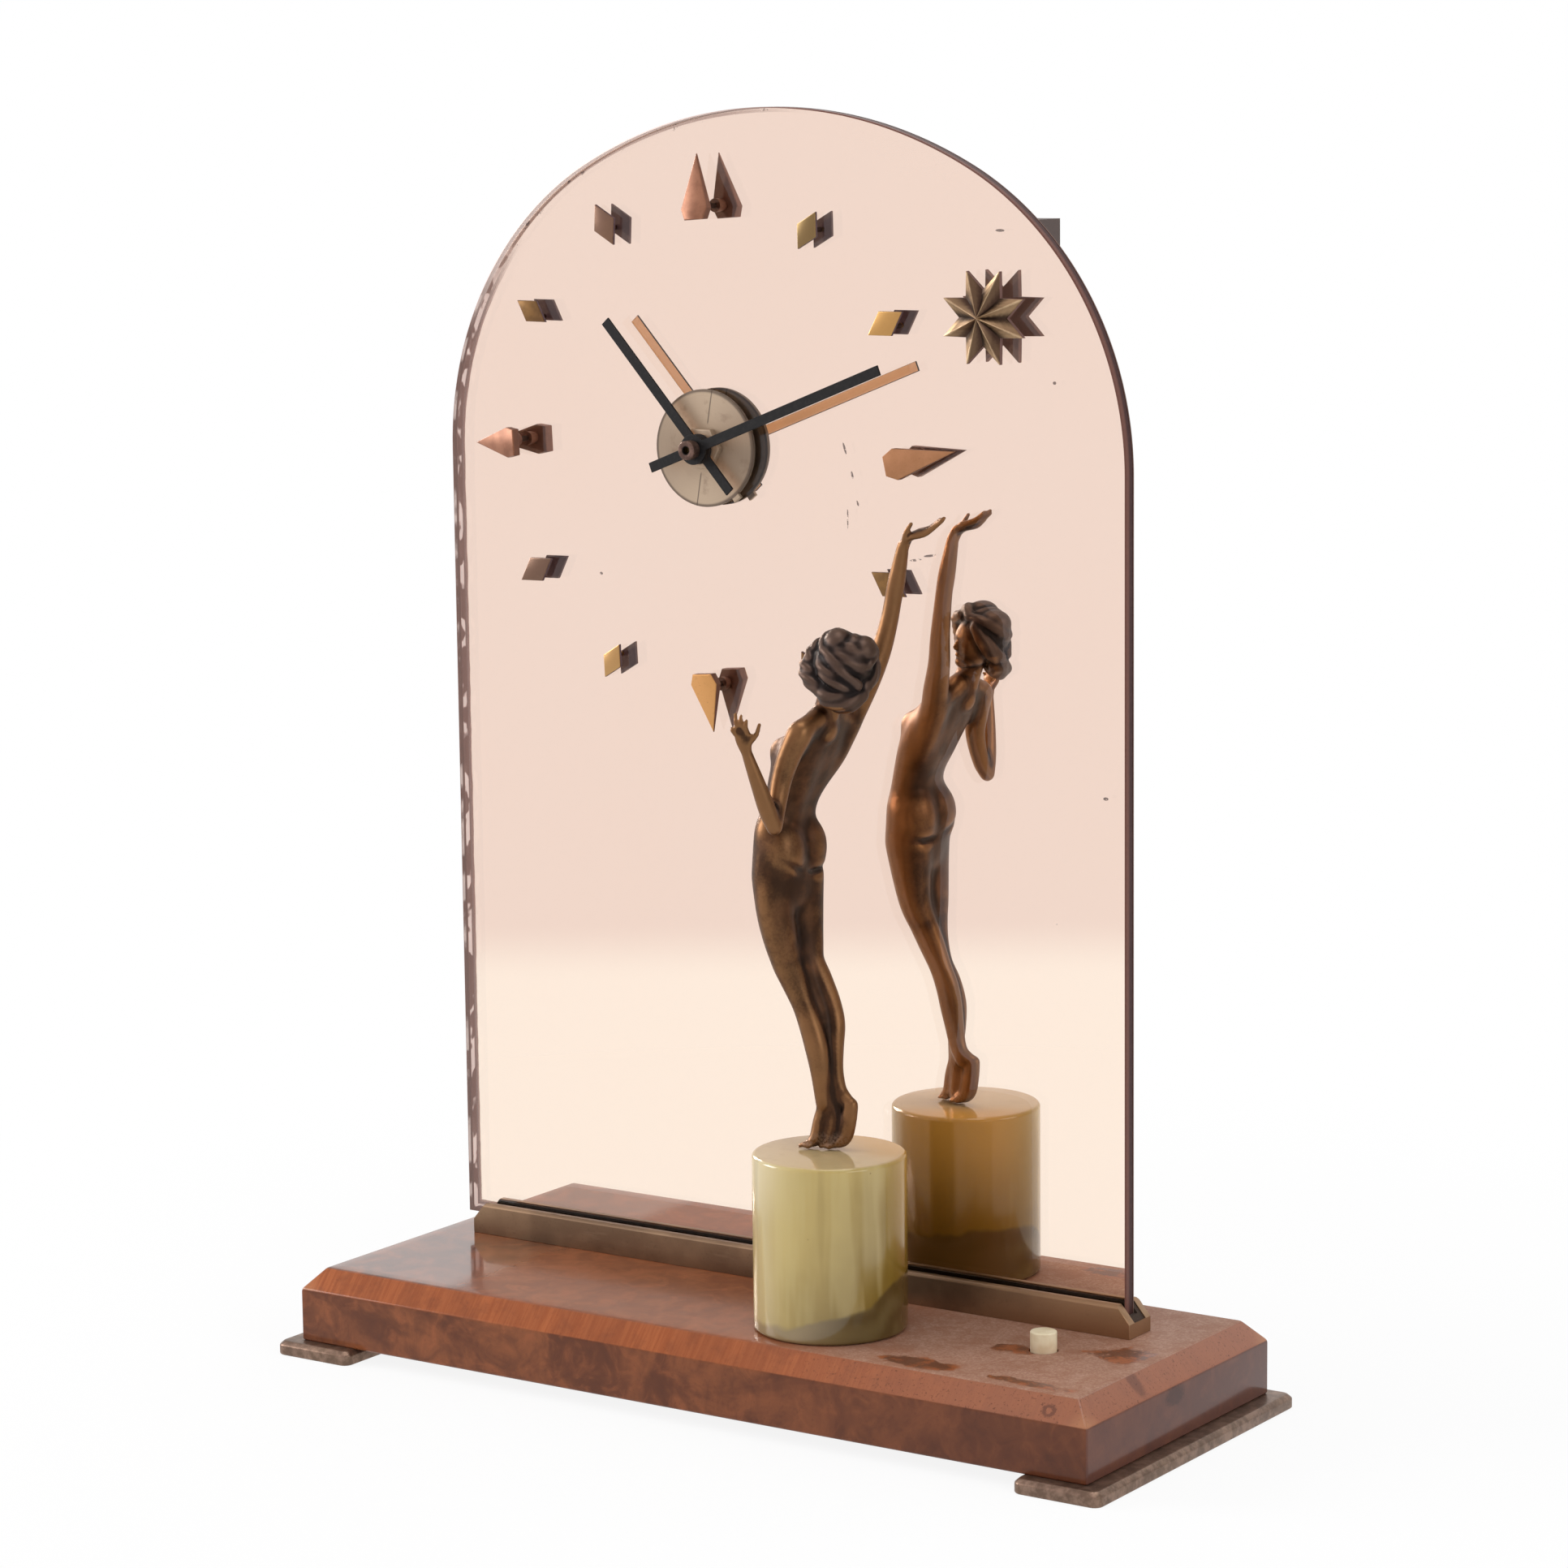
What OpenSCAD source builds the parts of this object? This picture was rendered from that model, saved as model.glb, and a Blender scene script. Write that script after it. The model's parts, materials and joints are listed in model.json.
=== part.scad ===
// Mirror clock: an arched mirror in a brass rail on a veneered base, with hands and hour
// markers on the glass, a wound movement behind it and a bronze statuette in front of it.
// Millimetres, +Z up, the front faces -Y. The origin is on the table, under the middle of the base.

/* [Base] */
// Width of the wooden base
base_w = 260; // [220:1:320]
// Depth of the wooden base
base_d = 98; // [90:1:130]
// Height of the wooden base without its feet
base_h = 21; // [20:0.5:30]
// Width of the bevel round the top
bevel_w = 5.4; // [2:0.1:8]
// Height of the bevel round the top
bevel_h = 6; // [2:0.1:8]

/* [Feet] */
// Width of each foot plate
foot_w = 26; // [20:0.5:40]
// Thickness of each foot plate
foot_t = 4; // [3:0.1:8]
// Reach of the foot plates past the ends of the base
foot_over_end = 6; // [0:0.5:10]
// Reach of the foot plates past the front and the back of the base
foot_over_front = 4.5; // [0:0.5:10]
// Radius of the foot plates' corners
foot_corner_r = 2.5; // [1:0.1:6]
// Bevel along the foot plates' top edges
foot_bevel = 1.2; // [0.2:0.1:2]
// Distance of the foot screws from the middle of the base's depth
foot_screw_reach = 34; // [20:1:40]

/* [Rail] */
// Length of the rail that holds the mirror
rail_l = 222; // [190:1:250]
// Place of the rail's middle, from the middle of the base
rail_x = -2.3; // [-6:0.1:6]
// Height of the rail above the base
rail_h = 9; // [8:0.1:14]
// Thickness of the rail's front and rear walls
rail_wall = 2.5; // [1.5:0.1:4]
// Thickness of the rail's floor
rail_floor = 4; // [3.5:0.1:6]
// Length of the slanted cut at the rail's ends
rail_cut_l = 4; // [1:0.1:8]
// Height of the slanted cut at the rail's ends
rail_cut_h = 5; // [1:0.1:7]
// Bevel along the rail's top edges
rail_bevel = 0.7; // [0.2:0.1:1.2]
// Thickness of the felt between the glass and the rail's front wall
felt_t = 0.5; // [0.3:0.1:1]
// Thickness of the felt between the silvering and the rail's rear wall
rear_felt_t = 1.7; // [0.3:0.1:2]
// Thickness of the strip under the glass
packing_t = 1.5; // [0.5:0.1:2]
// Distance between the rail's screws
rail_screw_pitch = 85; // [60:1:90]

/* [Mirror] */
// Width of the glass
glass_w = 223; // [200:1:240]
// Height of the glass
glass_h = 322; // [310:1:360]
// Thickness of the glass
glass_t = 3.8; // [3:0.1:6]
// Thickness of the silvering and its backing paint
silver_t = 0.5; // [0.2:0.1:0.8]
// Place of the glass's middle, from the middle of the base
glass_x = -5.7; // [-8:0.1:8]
// Place of the glass's front face, behind the middle of the base
glass_front = 13.3; // [10:0.1:16]
// Height of the arch above its spring line
arch_rise = 96.5; // [95:0.5:110]
// Radius of the arch's shoulders
shoulder_r = 91.5; // [75:0.5:93]

/* [Dial] */
// Place of the dial's centre, from the middle of the glass
dial_x = -21.3; // [-26:0.1:0]
// Height of the dial's centre above the lower edge of the glass
dial_up = 228.7; // [222:0.1:236]
// Radius of the ring that the lozenges stand on
lozenge_ring_r = 69.5; // [60:0.5:76]
// Length of a lozenge along the radius
lozenge_l = 12; // [8:0.1:16]
// Width of a lozenge
lozenge_w = 7.6; // [5:0.1:10]
// Thickness of a lozenge
lozenge_t = 1.2; // [0.8:0.1:2]
// Distance of the drops' inner ends from the dial's centre
drop_inner_r = 62.5; // [55:0.5:66]
// Length of a drop
drop_l = 17; // [12:0.1:20]
// Greatest width of a drop
drop_w = 8.6; // [6:0.1:12]
// Width of a drop at its inner end
drop_end_w = 5; // [2:0.1:5.5]
// Distance from a drop's inner end to its greatest width
drop_shoulder = 3; // [2:0.1:5]
// Height of a drop's front face at its inner end, above the glass
drop_high = 5.6; // [4:0.1:7]
// Height of a drop's front face at its tip, above the glass
drop_low = 2.2; // [1.5:0.1:3]
// Thickness of a drop at its inner end
drop_thick = 2; // [1.2:0.1:2.5]
// Thickness of a drop at its tip
drop_thin = 0.6; // [0.4:0.1:1]
// Radius of the pins that hold the markers
marker_pin_r = 0.7; // [0.5:0.05:1]
// Radius of the disc at the dial's centre
disc_r = 16.3; // [12:0.1:20]
// Thickness of the disc
disc_t = 1.2; // [0.8:0.1:2]
// Thickness of the washer between the disc and the glass
disc_washer_t = 0.8; // [0.4:0.1:1.2]

/* [Star] */
// Place of the star's centre, from the middle of the glass
star_x = 70; // [40:0.1:76]
// Height of the star's centre above the lower edge of the glass
star_up = 266.5; // [250:0.1:272]
// Radius of the star's tips
star_r = 13.6; // [10:0.1:16]
// Radius of the star's valleys
star_valley_r = 8.4; // [6:0.1:9]
// Thickness of the star's rim
star_rim = 3; // [1.5:0.1:4]
// Height of the star's middle above the glass
star_high = 6.6; // [5:0.1:9]

/* [Hands] */
// Length of the minute hand from the centre to its tip
minute_l = 65.5; // [50:0.5:70]
// Length of the hour hand from the centre to its tip
hour_l = 46.5; // [35:0.5:52]
// Length of each hand's tail
hand_tail = 15.5; // [10:0.5:20]
// Width of the hands
hand_w = 2.8; // [2:0.1:4]
// Thickness of the hands
hand_t = 0.7; // [0.5:0.05:0.9]
// Radius of the round boss of each hand
hand_boss_r = 4.2; // [3.2:0.1:6]
// Angle of the minute hand, clockwise from twelve
minute_angle = 69; // [0:1:360]
// Angle of the hour hand, clockwise from twelve
hour_angle = 318; // [0:1:360]
// Height of the nut that holds the hands
hand_nut_l = 3.2; // [2:0.1:4]
// Radius of the nut that holds the hands
hand_nut_r = 2.7; // [2.2:0.1:3.2]

/* [Statuette] */
// Place of the plinth's axis, from the middle of the base
plinth_x = 32.5; // [-40:0.5:50]
// Place of the plinth's axis, behind the middle of the base
plinth_y = -19.5; // [-22:0.5:-18]
// Diameter of the onyx plinth
plinth_d = 42; // [34:0.5:46]
// Height of the onyx plinth
plinth_h = 48.5; // [35:0.5:70]
// Bevel on the plinth's edges
plinth_bevel = 0.7; // [0.3:0.1:2]
// Height of the statuette, from its soles to the raised fingers
figure_h = 172; // [150:1:190]
// Radius of the stud that holds the plinth and the statuette
stud_r = 1.5; // [1:0.1:1.8]
// Length of the stud inside the statuette
stud_grip = 2.4; // [1:0.1:3]

/* [Button] */
// Distance of the button from the right end of the base
button_in = 36; // [30:0.5:45]
// Place of the button, behind the middle of the base
button_y = -10; // [-16:0.5:-8]
// Radius of the button
button_r = 3.6; // [2.5:0.1:4]
// Height of the button above the base
button_up = 5.4; // [4:0.1:8]
// Travel of the button
button_travel = 3; // [1.5:0.1:3.2]

/* [Movement] */
// Width of the dust cover behind the mirror
cover_w = 145; // [135:1:160]
// Height of the dust cover
cover_h = 126; // [118:1:130]
// Height of the dust cover's lower wall above the lower edge of the glass
cover_up = 165.5; // [160:0.5:168]
// Thickness of the dust cover's sheet
cover_t = 1; // [0.6:0.1:1.6]
// Width of the movement's plates
plate_w = 60; // [60:0.5:70]
// Height of the movement's plates above the centre arbor
plate_above = 48; // [47:0.5:52]
// Height of the movement's plates below the centre arbor
plate_below = 56; // [55:0.5:58]
// Thickness of the movement's plates
plate_t = 1.5; // [1:0.1:2]
// Distance between the front plate and the rear plate
plate_gap = 14.2; // [13:0.1:15]
// Width of the space for the motion work in front of the front plate
motion_gap = 5.9; // [5.9:0.1:7]

/* [Hidden] */
$fn = 64;

// Clearances: a running shaft, a fixed fit, a loose hole, and the least gap between moving faces
run_fit = 0.05;
snug_fit = 0.02;
loose_fit = 0.3;
air = 0.3;
// Depth by which a cut runs past the face that it opens
over = 1;

// Levels and faces of the base, the rail and the glass
base_z = foot_t;
base_top = base_z + base_h;
glass_z = base_top + rail_floor + packing_t;
glass_back = glass_front + glass_t + silver_t;
rail_front = glass_front - felt_t - rail_wall;
rail_back = glass_back + rear_felt_t + rail_wall;
rail_y = (rail_front + rail_back) / 2;
spring_z = glass_z + glass_h - arch_rise;
arch_half = glass_w / 2;
shoulder_x = arch_half - shoulder_r;
crown_r = (shoulder_x * shoulder_x + arch_rise * arch_rise - shoulder_r * shoulder_r)
    / (2 * (arch_rise - shoulder_r));
crown_z = spring_z + arch_rise - crown_r;
axis_x = glass_x + dial_x;
axis_z = glass_z + dial_up;

// Screws of the base
screw_r = 1.5;
screw_head_r = 3;
screw_head_h = 1.6;
screw_sink = 0.2;
foot_screw_l = 13;
rail_screw_head_h = 2;
rail_screw_head_r = 3.2;
rail_screw_depth = 8;
rail_screw_bite = 2.5;
foot_length = base_d + 2 * foot_over_front;
foot_outer = base_w / 2 + foot_over_end;
foot_inner = foot_outer - foot_w;
foot_screw_x = (foot_inner + base_w / 2) / 2;

// Stud, nut and washer under the plinth
stud_pocket_r = 7;
stud_pocket_h = 9;
stud_washer_r = 5.5;
stud_washer_h = 1;
stud_nut_r = 3.2;
stud_nut_h = 2.6;
stud_tail = 1;
plinth_top = base_top + plinth_h;
figure_scale = figure_h / 172;

// Works of the push button
button_x = base_w / 2 - button_in;
pocket_w = 36;
pocket_d = 26;
pocket_roof = 9;
pocket_top = base_top - pocket_roof;
bush_wall = 1.4;
bush_flange_r = 8;
bush_flange_t = 1.2;
bush_cap = 3;
button_hole_gap = 0.4;
collar_r = 5.4;
collar_t = 1.6;
collar_top = pocket_top - bush_flange_t - air;
stem_r = 1.5;
cover_plate_t = 1.5;
cover_plate_lap = 5;
board_t = 1.2;
board_w = 22;
board_top = base_z + cover_plate_t + board_t;
contact_up = 0.5;
contact_r = 1.4;
stem_end = board_top + contact_up + air + button_travel;
spring_wire_r = 0.3;
spring_coil_r = 3;
spring_turns = 6;
spring_low = board_top + spring_wire_r;
spring_top = collar_top - collar_t - spring_wire_r - 0.05;
plate_screw_x = (pocket_w + cover_plate_lap) / 2;
short_screw_l = 6;
short_screw_r = 1;
short_head_r = 1.9;
short_head_h = 0.9;

// Front to back through the glass: the hands, the nut, the disc, then the plates of the movement
disc_front = glass_front - disc_washer_t - disc_t;
dial_nut_t = 1.9;
dial_nut_front = disc_front - dial_nut_t;
bush_front = dial_nut_front - 0.2;
hour_hand_back = bush_front - 0.4;
hour_hand_front = hour_hand_back - hand_t;
minute_hand_back = hour_hand_front - 1.85;
minute_hand_front = minute_hand_back - hand_t;
hand_nut_back = minute_hand_front - 0.05;
arbor_front = hand_nut_back - 0.9;
mount_washer_t = 0.8;
mount_front = glass_back + mount_washer_t;
mount_back = mount_front + plate_t;
front_plate_y = mount_back + motion_gap;
train_front = front_plate_y + plate_t;
train_back = train_front + plate_gap;
rear_plate_back = train_back + plate_t;
cover_gap = 1;
cover_inside = rear_plate_back + 1.9;
cover_back = cover_inside + cover_t;
cover_front = glass_back + cover_gap;
arbor_r = 1;
pivot_r = 0.8;
cannon_r = 1.6;
hour_pipe_r = 2.2;
bush_r = 4;
glass_hole_r = bush_r + 0.8;
disc_washer_r = 12;
dial_nut_r = 6.2;
clip_r = 1.2;
clip_t = 0.6;
drop_pin_r = 4;

// Teeth: the wheels and the pinions of each mesh, their modules and their centre distances
pinion_teeth = 12;
great_teeth = 96;
centre_teeth = 72;
third_teeth = 72;
minute_teeth = 36;
hour_teeth = 48;
great_m = 0.5;
centre_m = 0.4;
third_m = 0.3;
minute_m = 0.5;
hour_m = 0.4;
barrel_away = great_m * (great_teeth + pinion_teeth) / 2;
third_away = centre_m * (centre_teeth + pinion_teeth) / 2;
escape_away = third_m * (third_teeth + pinion_teeth) / 2;
minute_away = minute_m * (minute_teeth + pinion_teeth) / 2;
barrel_dir = -90;
third_dir = 60;
escape_dir = 120;
minute_dir = 200;
lever_dir = 150;
lever_away = 9;
balance_away = 10;
function polar(r, a) = [r * cos(a), r * sin(a)];
centre_at = [axis_x, axis_z];
barrel_at = centre_at + polar(barrel_away, barrel_dir);
third_at = centre_at + polar(third_away, third_dir);
escape_at = third_at + polar(escape_away, escape_dir);
minute_at = centre_at + polar(minute_away, minute_dir);
lever_at = escape_at + polar(lever_away, lever_dir);
balance_at = lever_at + polar(balance_away, lever_dir);

// Levels of the wheels behind the front plate and of the motion work in front of it
wheel_t = 1.2;
great_y = train_front + 0.8;
great_t = 1.5;
drum_r = 22;
drum_wall = 1.2;
drum_h = 6.7;
drum_lid = 0.7;
drum_back = great_y + great_t + drum_h;
centre_pinion_h = 2.2;
centre_wheel_y = drum_back + drum_lid + 0.4;
third_pinion_h = 2;
third_wheel_y = train_front + 4.5;
escape_wheel_y = train_front + 7;
escape_wheel_t = 0.8;
escape_r = 6;
balance_rim_y = train_front + 4.1;
balance_r = 8.5;
hour_wheel_y = mount_back + 0.9;
minute_wheel_y = front_plate_y - 2.5;
cannon_teeth_y = front_plate_y - 2.8;
cannon_teeth_h = 2.2;
minute_pinion_y = mount_back + 0.6;
winding_r = 2;
winding_hub_r = 5;
square_w = 3;
ratchet_teeth = 24;
ratchet_r = 9;
ratchet_y = rear_plate_back + 0.3;
ratchet_t = 1.2;
click_away = 13.5;
click_dir = 60;
click_at = barrel_at + polar(click_away, click_dir);
key_y = cover_back + 0.4;
key_l = 7;
key_tube_r = 3.2;
key_wing = 12;
key_wing_t = 1.8;
knob_r = 5;
knob_l = 5;
knob_ribs = 20;

// Pillars at the corners of the plates, and the screws in their two ends
pillar_inset = 5;
pillar_r = 3;
pillar_screw_r = 1.25;
pillar_bite = 5;
pillar_head_r = 2.4;
pillar_head_h = 1.2;
pillar_at = [for (u = [-1, 1], w = [-plate_below + pillar_inset, plate_above - pillar_inset])
    centre_at + [u * (plate_w / 2 - pillar_inset), w]];

// A flat outline in X and Z, given a thickness from the face at y
module slab(y, t) {
    translate([0, y + t, 0])
        rotate([90, 0, 0])
            linear_extrude(t)
                children();
}

// A round bar along Y between two faces
module bar(at, y1, y2, r) {
    translate([at[0], y2, at[1]])
        rotate([90, 0, 0])
            cylinder(h = y2 - y1, r = r);
}

// A turned piece along Y: points of the profile are radius and y
module turned(at, profile) {
    translate([at[0], 0, at[1]])
        rotate([-90, 0, 0])
            rotate_extrude()
                polygon(profile);
}

// A screw that points up from z = 0, with a countersunk head
module sunk_screw(r, head_r, head_h, l) {
    rotate_extrude()
        polygon([[0, 0], [head_r, 0], [r, head_h], [r, l], [0, l]]);
}

// A screw that points up from z = 0, with a flat round head
module flat_screw(r, head_r, head_h, l) {
    cylinder(h = head_h, r = head_r);
    cylinder(h = l, r = r);
}

// A wheel's outline: straight-sided teeth, the first of them pointing along the angle turn
module teeth(n, m, turn) {
    step = 360 / n;
    tip = m * n / 2 + 0.85 * m;
    root = m * n / 2 - 1.15 * m;
    polygon([for (i = [0 : n - 1], k = [[root, -0.3], [tip, -0.12], [tip, 0.12], [root, 0.3]])
        polar(k[0], turn + (i + k[1]) * step)]);
}

// A toothed wheel with its own thickness, centre and first tooth
module wheel(at, y, t, n, m, turn) {
    slab(y, t)
        translate(at)
            teeth(n, m, turn);
}

// A spiral strip from the inner to the outer radius
module spiral(r1, r2, turns, strip) {
    steps = 20 * turns;
    function place(i, off) = polar(r1 + (r2 - r1) * i / steps + off, 360 * turns * i / steps);
    polygon(concat([for (i = [0 : steps]) place(i, 0)], [for (i = [steps : -1 : 0]) place(i, strip)]));
}

// The arch of the glass: straight sides, two shoulders and a flatter crown that meets them smoothly
module arch() {
    wedge = [[0, crown_z], [-3 * shoulder_x, crown_z + 3 * (spring_z - crown_z)],
        [3 * shoulder_x, crown_z + 3 * (spring_z - crown_z)]];
    reach = 2 * crown_r / (spring_z - crown_z);
    translate([glass_x, 0]) {
        translate([-arch_half, glass_z])
            square([glass_w, spring_z - glass_z]);
        for (side = [-1, 1])
            translate([side * shoulder_x, spring_z])
                circle(r = shoulder_r, $fn = 180);
        intersection() {
            translate([0, crown_z])
                circle(r = crown_r, $fn = 180);
            polygon([wedge[0], wedge[0] + reach * [-shoulder_x, spring_z - crown_z],
                wedge[0] + reach * [shoulder_x, spring_z - crown_z]]);
        }
    }
}

// Places of the hours on the glass, clockwise from twelve
function hour_at(h, r) = centre_at + polar(r, 90 - 30 * h);
drop_pin_ring = drop_inner_r + drop_pin_r;
star_at = [glass_x + star_x, glass_z + star_up];
lozenge_hours = [1, 2, 4, 5, 7, 8, 10, 11];
drop_hours = [0, 3, 6, 9];
marker_pins = concat([for (h = lozenge_hours) hour_at(h, lozenge_ring_r)],
    [for (h = drop_hours) hour_at(h, drop_pin_ring)], [star_at]);

module glass_holes() {
    translate(centre_at)
        circle(r = glass_hole_r);
    for (pin = marker_pins)
        translate(pin)
            circle(r = marker_pin_r + snug_fit);
}

// Base, feet and their screws
module bevelled_box(w, d, h, bw, bh) {
    intersection() {
        translate([0, d / 2, 0])
            rotate([90, 0, 0])
                linear_extrude(d)
                    polygon([[-w / 2, 0], [w / 2, 0], [w / 2, h - bh], [w / 2 - bw, h], [bw - w / 2, h],
                        [-w / 2, h - bh]]);
        translate([-w / 2, 0, 0])
            rotate([90, 0, 90])
                linear_extrude(w)
                    polygon([[-d / 2, 0], [d / 2, 0], [d / 2, h - bh], [d / 2 - bw, h], [bw - d / 2, h],
                        [-d / 2, h - bh]]);
    }
}

module at_foot_screws(side) {
    for (end = [-1, 1])
        translate([side * foot_screw_x, end * foot_screw_reach, screw_sink])
            children();
}

module at_rail_screws() {
    for (i = [-1, 0, 1])
        translate([rail_x + i * rail_screw_pitch, rail_y, base_z + rail_screw_depth])
            children();
}

module at_cover_plate_screws() {
    for (side = [-1, 1])
        translate([button_x + side * plate_screw_x, button_y, base_z])
            children();
}

module base_block() {
    color("saddlebrown")
        difference() {
            translate([0, 0, base_z])
                bevelled_box(base_w, base_d, base_h, bevel_w, bevel_h);
            for (side = [-1, 1])
                at_foot_screws(side)
                    cylinder(h = foot_screw_l + loose_fit, r = screw_r + snug_fit);
            at_rail_screws() {
                translate([0, 0, -rail_screw_depth - over])
                    cylinder(h = rail_screw_depth + over, r = rail_screw_head_r + loose_fit);
                cylinder(h = base_h, r = screw_r + snug_fit);
            }
            translate([plinth_x, plinth_y, base_z - over]) {
                cylinder(h = stud_pocket_h + over, r = stud_pocket_r);
                cylinder(h = base_h + 2 * over, r = stud_r + loose_fit);
            }
            translate([button_x, button_y, base_z]) {
                translate([-pocket_w / 2, -pocket_d / 2, -over])
                    cube([pocket_w, pocket_d, pocket_top - base_z + over]);
                translate([-pocket_w / 2 - cover_plate_lap - snug_fit, -pocket_d / 2 - snug_fit, -over])
                    cube([pocket_w + 2 * (cover_plate_lap + snug_fit), pocket_d + 2 * snug_fit,
                        cover_plate_t + over]);
                cylinder(h = base_h + over, r = button_r + button_hole_gap);
                cylinder(h = base_h - bush_cap, r = button_r + run_fit + bush_wall + snug_fit);
            }
            at_cover_plate_screws()
                cylinder(h = short_screw_l + loose_fit, r = short_screw_r + snug_fit);
        }
}

module foot(side) {
    color("darkkhaki")
        difference() {
            translate([side * (foot_outer - foot_w / 2), 0, 0])
                intersection() {
                    bevelled_box(foot_w, foot_length, foot_t, foot_bevel, foot_bevel);
                    linear_extrude(foot_t) {
                        square([foot_w - 2 * foot_corner_r, foot_length], center = true);
                        square([foot_w, foot_length - 2 * foot_corner_r], center = true);
                        for (u = [-1, 1], v = [-1, 1])
                            translate([u * (foot_w / 2 - foot_corner_r), v * (foot_length / 2 - foot_corner_r)])
                                circle(r = foot_corner_r);
                    }
                }
            at_foot_screws(side) {
                sunk_screw(screw_r + snug_fit, screw_head_r + snug_fit, screw_head_h, foot_screw_l);
                translate([0, 0, -over])
                    cylinder(h = over, r = screw_head_r + snug_fit);
            }
        }
}

module foot_left() {
    foot(-1);
}

module foot_right() {
    foot(1);
}

module foot_screws() {
    color("dimgray")
        for (side = [-1, 1])
            at_foot_screws(side)
                sunk_screw(screw_r, screw_head_r, screw_head_h, foot_screw_l);
}

// Rail: a channel whose ends are cut on a slant
module rail_ends(inset) {
    half = rail_l / 2 - inset;
    translate([rail_x, rail_back, base_top])
        rotate([90, 0, 0])
            linear_extrude(rail_back - rail_front)
                polygon([[-half, 0], [half, 0], [half, rail_h - rail_cut_h], [half - rail_cut_l, rail_h],
                    [rail_cut_l - half, rail_h], [-half, rail_h - rail_cut_h]]);
}

module along_rail() {
    translate([rail_x - rail_l / 2, 0, base_top])
        rotate([90, 0, 90])
            linear_extrude(rail_l)
                children();
}

module mirror_rail() {
    color("darkgoldenrod")
        difference() {
            intersection() {
                along_rail()
                    difference() {
                        polygon([[rail_front, 0], [rail_back, 0], [rail_back, rail_h - rail_bevel],
                            [rail_back - rail_bevel, rail_h], [rail_front + rail_bevel, rail_h],
                            [rail_front, rail_h - rail_bevel]]);
                        translate([rail_front + rail_wall, rail_floor])
                            square([rail_back - rail_front - 2 * rail_wall, rail_h]);
                    }
                rail_ends(0);
            }
            at_rail_screws()
                cylinder(h = base_top + rail_screw_bite + air - base_z - rail_screw_depth, r = screw_r + snug_fit);
        }
}

module rail_screws() {
    color("dimgray")
        at_rail_screws()
            translate([0, 0, -rail_screw_head_h])
                flat_screw(screw_r, rail_screw_head_r, rail_screw_head_h,
                    rail_screw_head_h + base_top + rail_screw_bite - base_z - rail_screw_depth);
}

module rail_packing() {
    color("darkslategray")
        intersection() {
            along_rail()
                difference() {
                    translate([rail_front + rail_wall, rail_floor])
                        square([rail_back - rail_front - 2 * rail_wall, rail_h - rail_floor - felt_t]);
                    translate([glass_front, rail_floor + packing_t])
                        square([glass_back - glass_front, rail_h]);
                }
            rail_ends(felt_t);
        }
}

// Glass and its silvering
module mirror_glass() {
    color("mistyrose")
        slab(glass_front, glass_t)
            difference() {
                arch();
                glass_holes();
            }
}

module mirror_silver() {
    color("rosybrown")
        slab(glass_front + glass_t, silver_t)
            difference() {
                arch();
                glass_holes();
            }
}

// Markers on the glass, each with its pin through the glass
module marker_pin(at, y) {
    bar(at, y, glass_back + clip_t + 0.4, marker_pin_r);
}

module hour_lozenges() {
    color("goldenrod")
        for (h = lozenge_hours) {
            slab(glass_front - lozenge_t, lozenge_t)
                translate(hour_at(h, lozenge_ring_r))
                    rotate(-30 * h)
                        polygon([[0, lozenge_l / 2], [lozenge_w / 2, 0], [0, -lozenge_l / 2], [-lozenge_w / 2, 0]]);
            marker_pin(hour_at(h, lozenge_ring_r), glass_front - lozenge_t / 2);
        }
}

module drop_plate() {
    side = [[-drop_high, 0], [-drop_low, drop_l], [drop_thin - drop_low, drop_l], [drop_thick - drop_high, 0]];
    intersection() {
        translate([0, over, 0])
            rotate([90, 0, 0])
                linear_extrude(drop_high + 2 * over)
                    polygon([[-drop_end_w / 2, 0], [drop_end_w / 2, 0], [drop_w / 2, drop_shoulder], [0, drop_l],
                        [-drop_w / 2, drop_shoulder]]);
        translate([-drop_w, 0, 0])
            rotate([90, 0, 90])
                linear_extrude(2 * drop_w)
                    polygon(side);
    }
}

module quarter_drops() {
    pin_face = drop_high - (drop_high - drop_low) * drop_pin_r / drop_l - drop_thick / 2;
    color("peru")
        for (h = drop_hours) {
            translate([axis_x, glass_front, axis_z])
                rotate([0, 30 * h, 0])
                    translate([0, 0, drop_inner_r])
                        drop_plate();
            marker_pin(hour_at(h, drop_pin_ring), glass_front - pin_face);
        }
}

module star() {
    points = 8;
    step = 360 / points;
    rim = [for (i = [0 : 2 * points - 1]) polar(i % 2 == 0 ? star_r : star_valley_r, (i + 1) * step / 2)];
    count = len(rim);
    front = [for (p = rim) [p[0], -star_rim, p[1]]];
    back = [for (p = rim) [p[0], 0, p[1]]];
    color("tan")
        union() {
            translate([star_at[0], glass_front, star_at[1]])
                polyhedron(points = concat(front, back, [[0, -star_high, 0], [0, 0, 0]]),
                    faces = concat(
                        [for (i = [0 : count - 1]) [(i + 1) % count, i, 2 * count]],
                        [for (i = [0 : count - 1]) [i, (i + 1) % count, count + i]],
                        [for (i = [0 : count - 1]) [(i + 1) % count, count + (i + 1) % count, count + i]],
                        [for (i = [0 : count - 1]) [count + i, count + (i + 1) % count, 2 * count + 1]]));
            marker_pin(star_at, glass_front - star_rim / 2);
        }
}

module marker_clips() {
    color("silver")
        for (pin = marker_pins)
            difference() {
                bar(pin, glass_back, glass_back + clip_t, clip_r);
                bar(pin, glass_back - over, glass_back + clip_t + over, marker_pin_r + snug_fit);
            }
}

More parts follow.
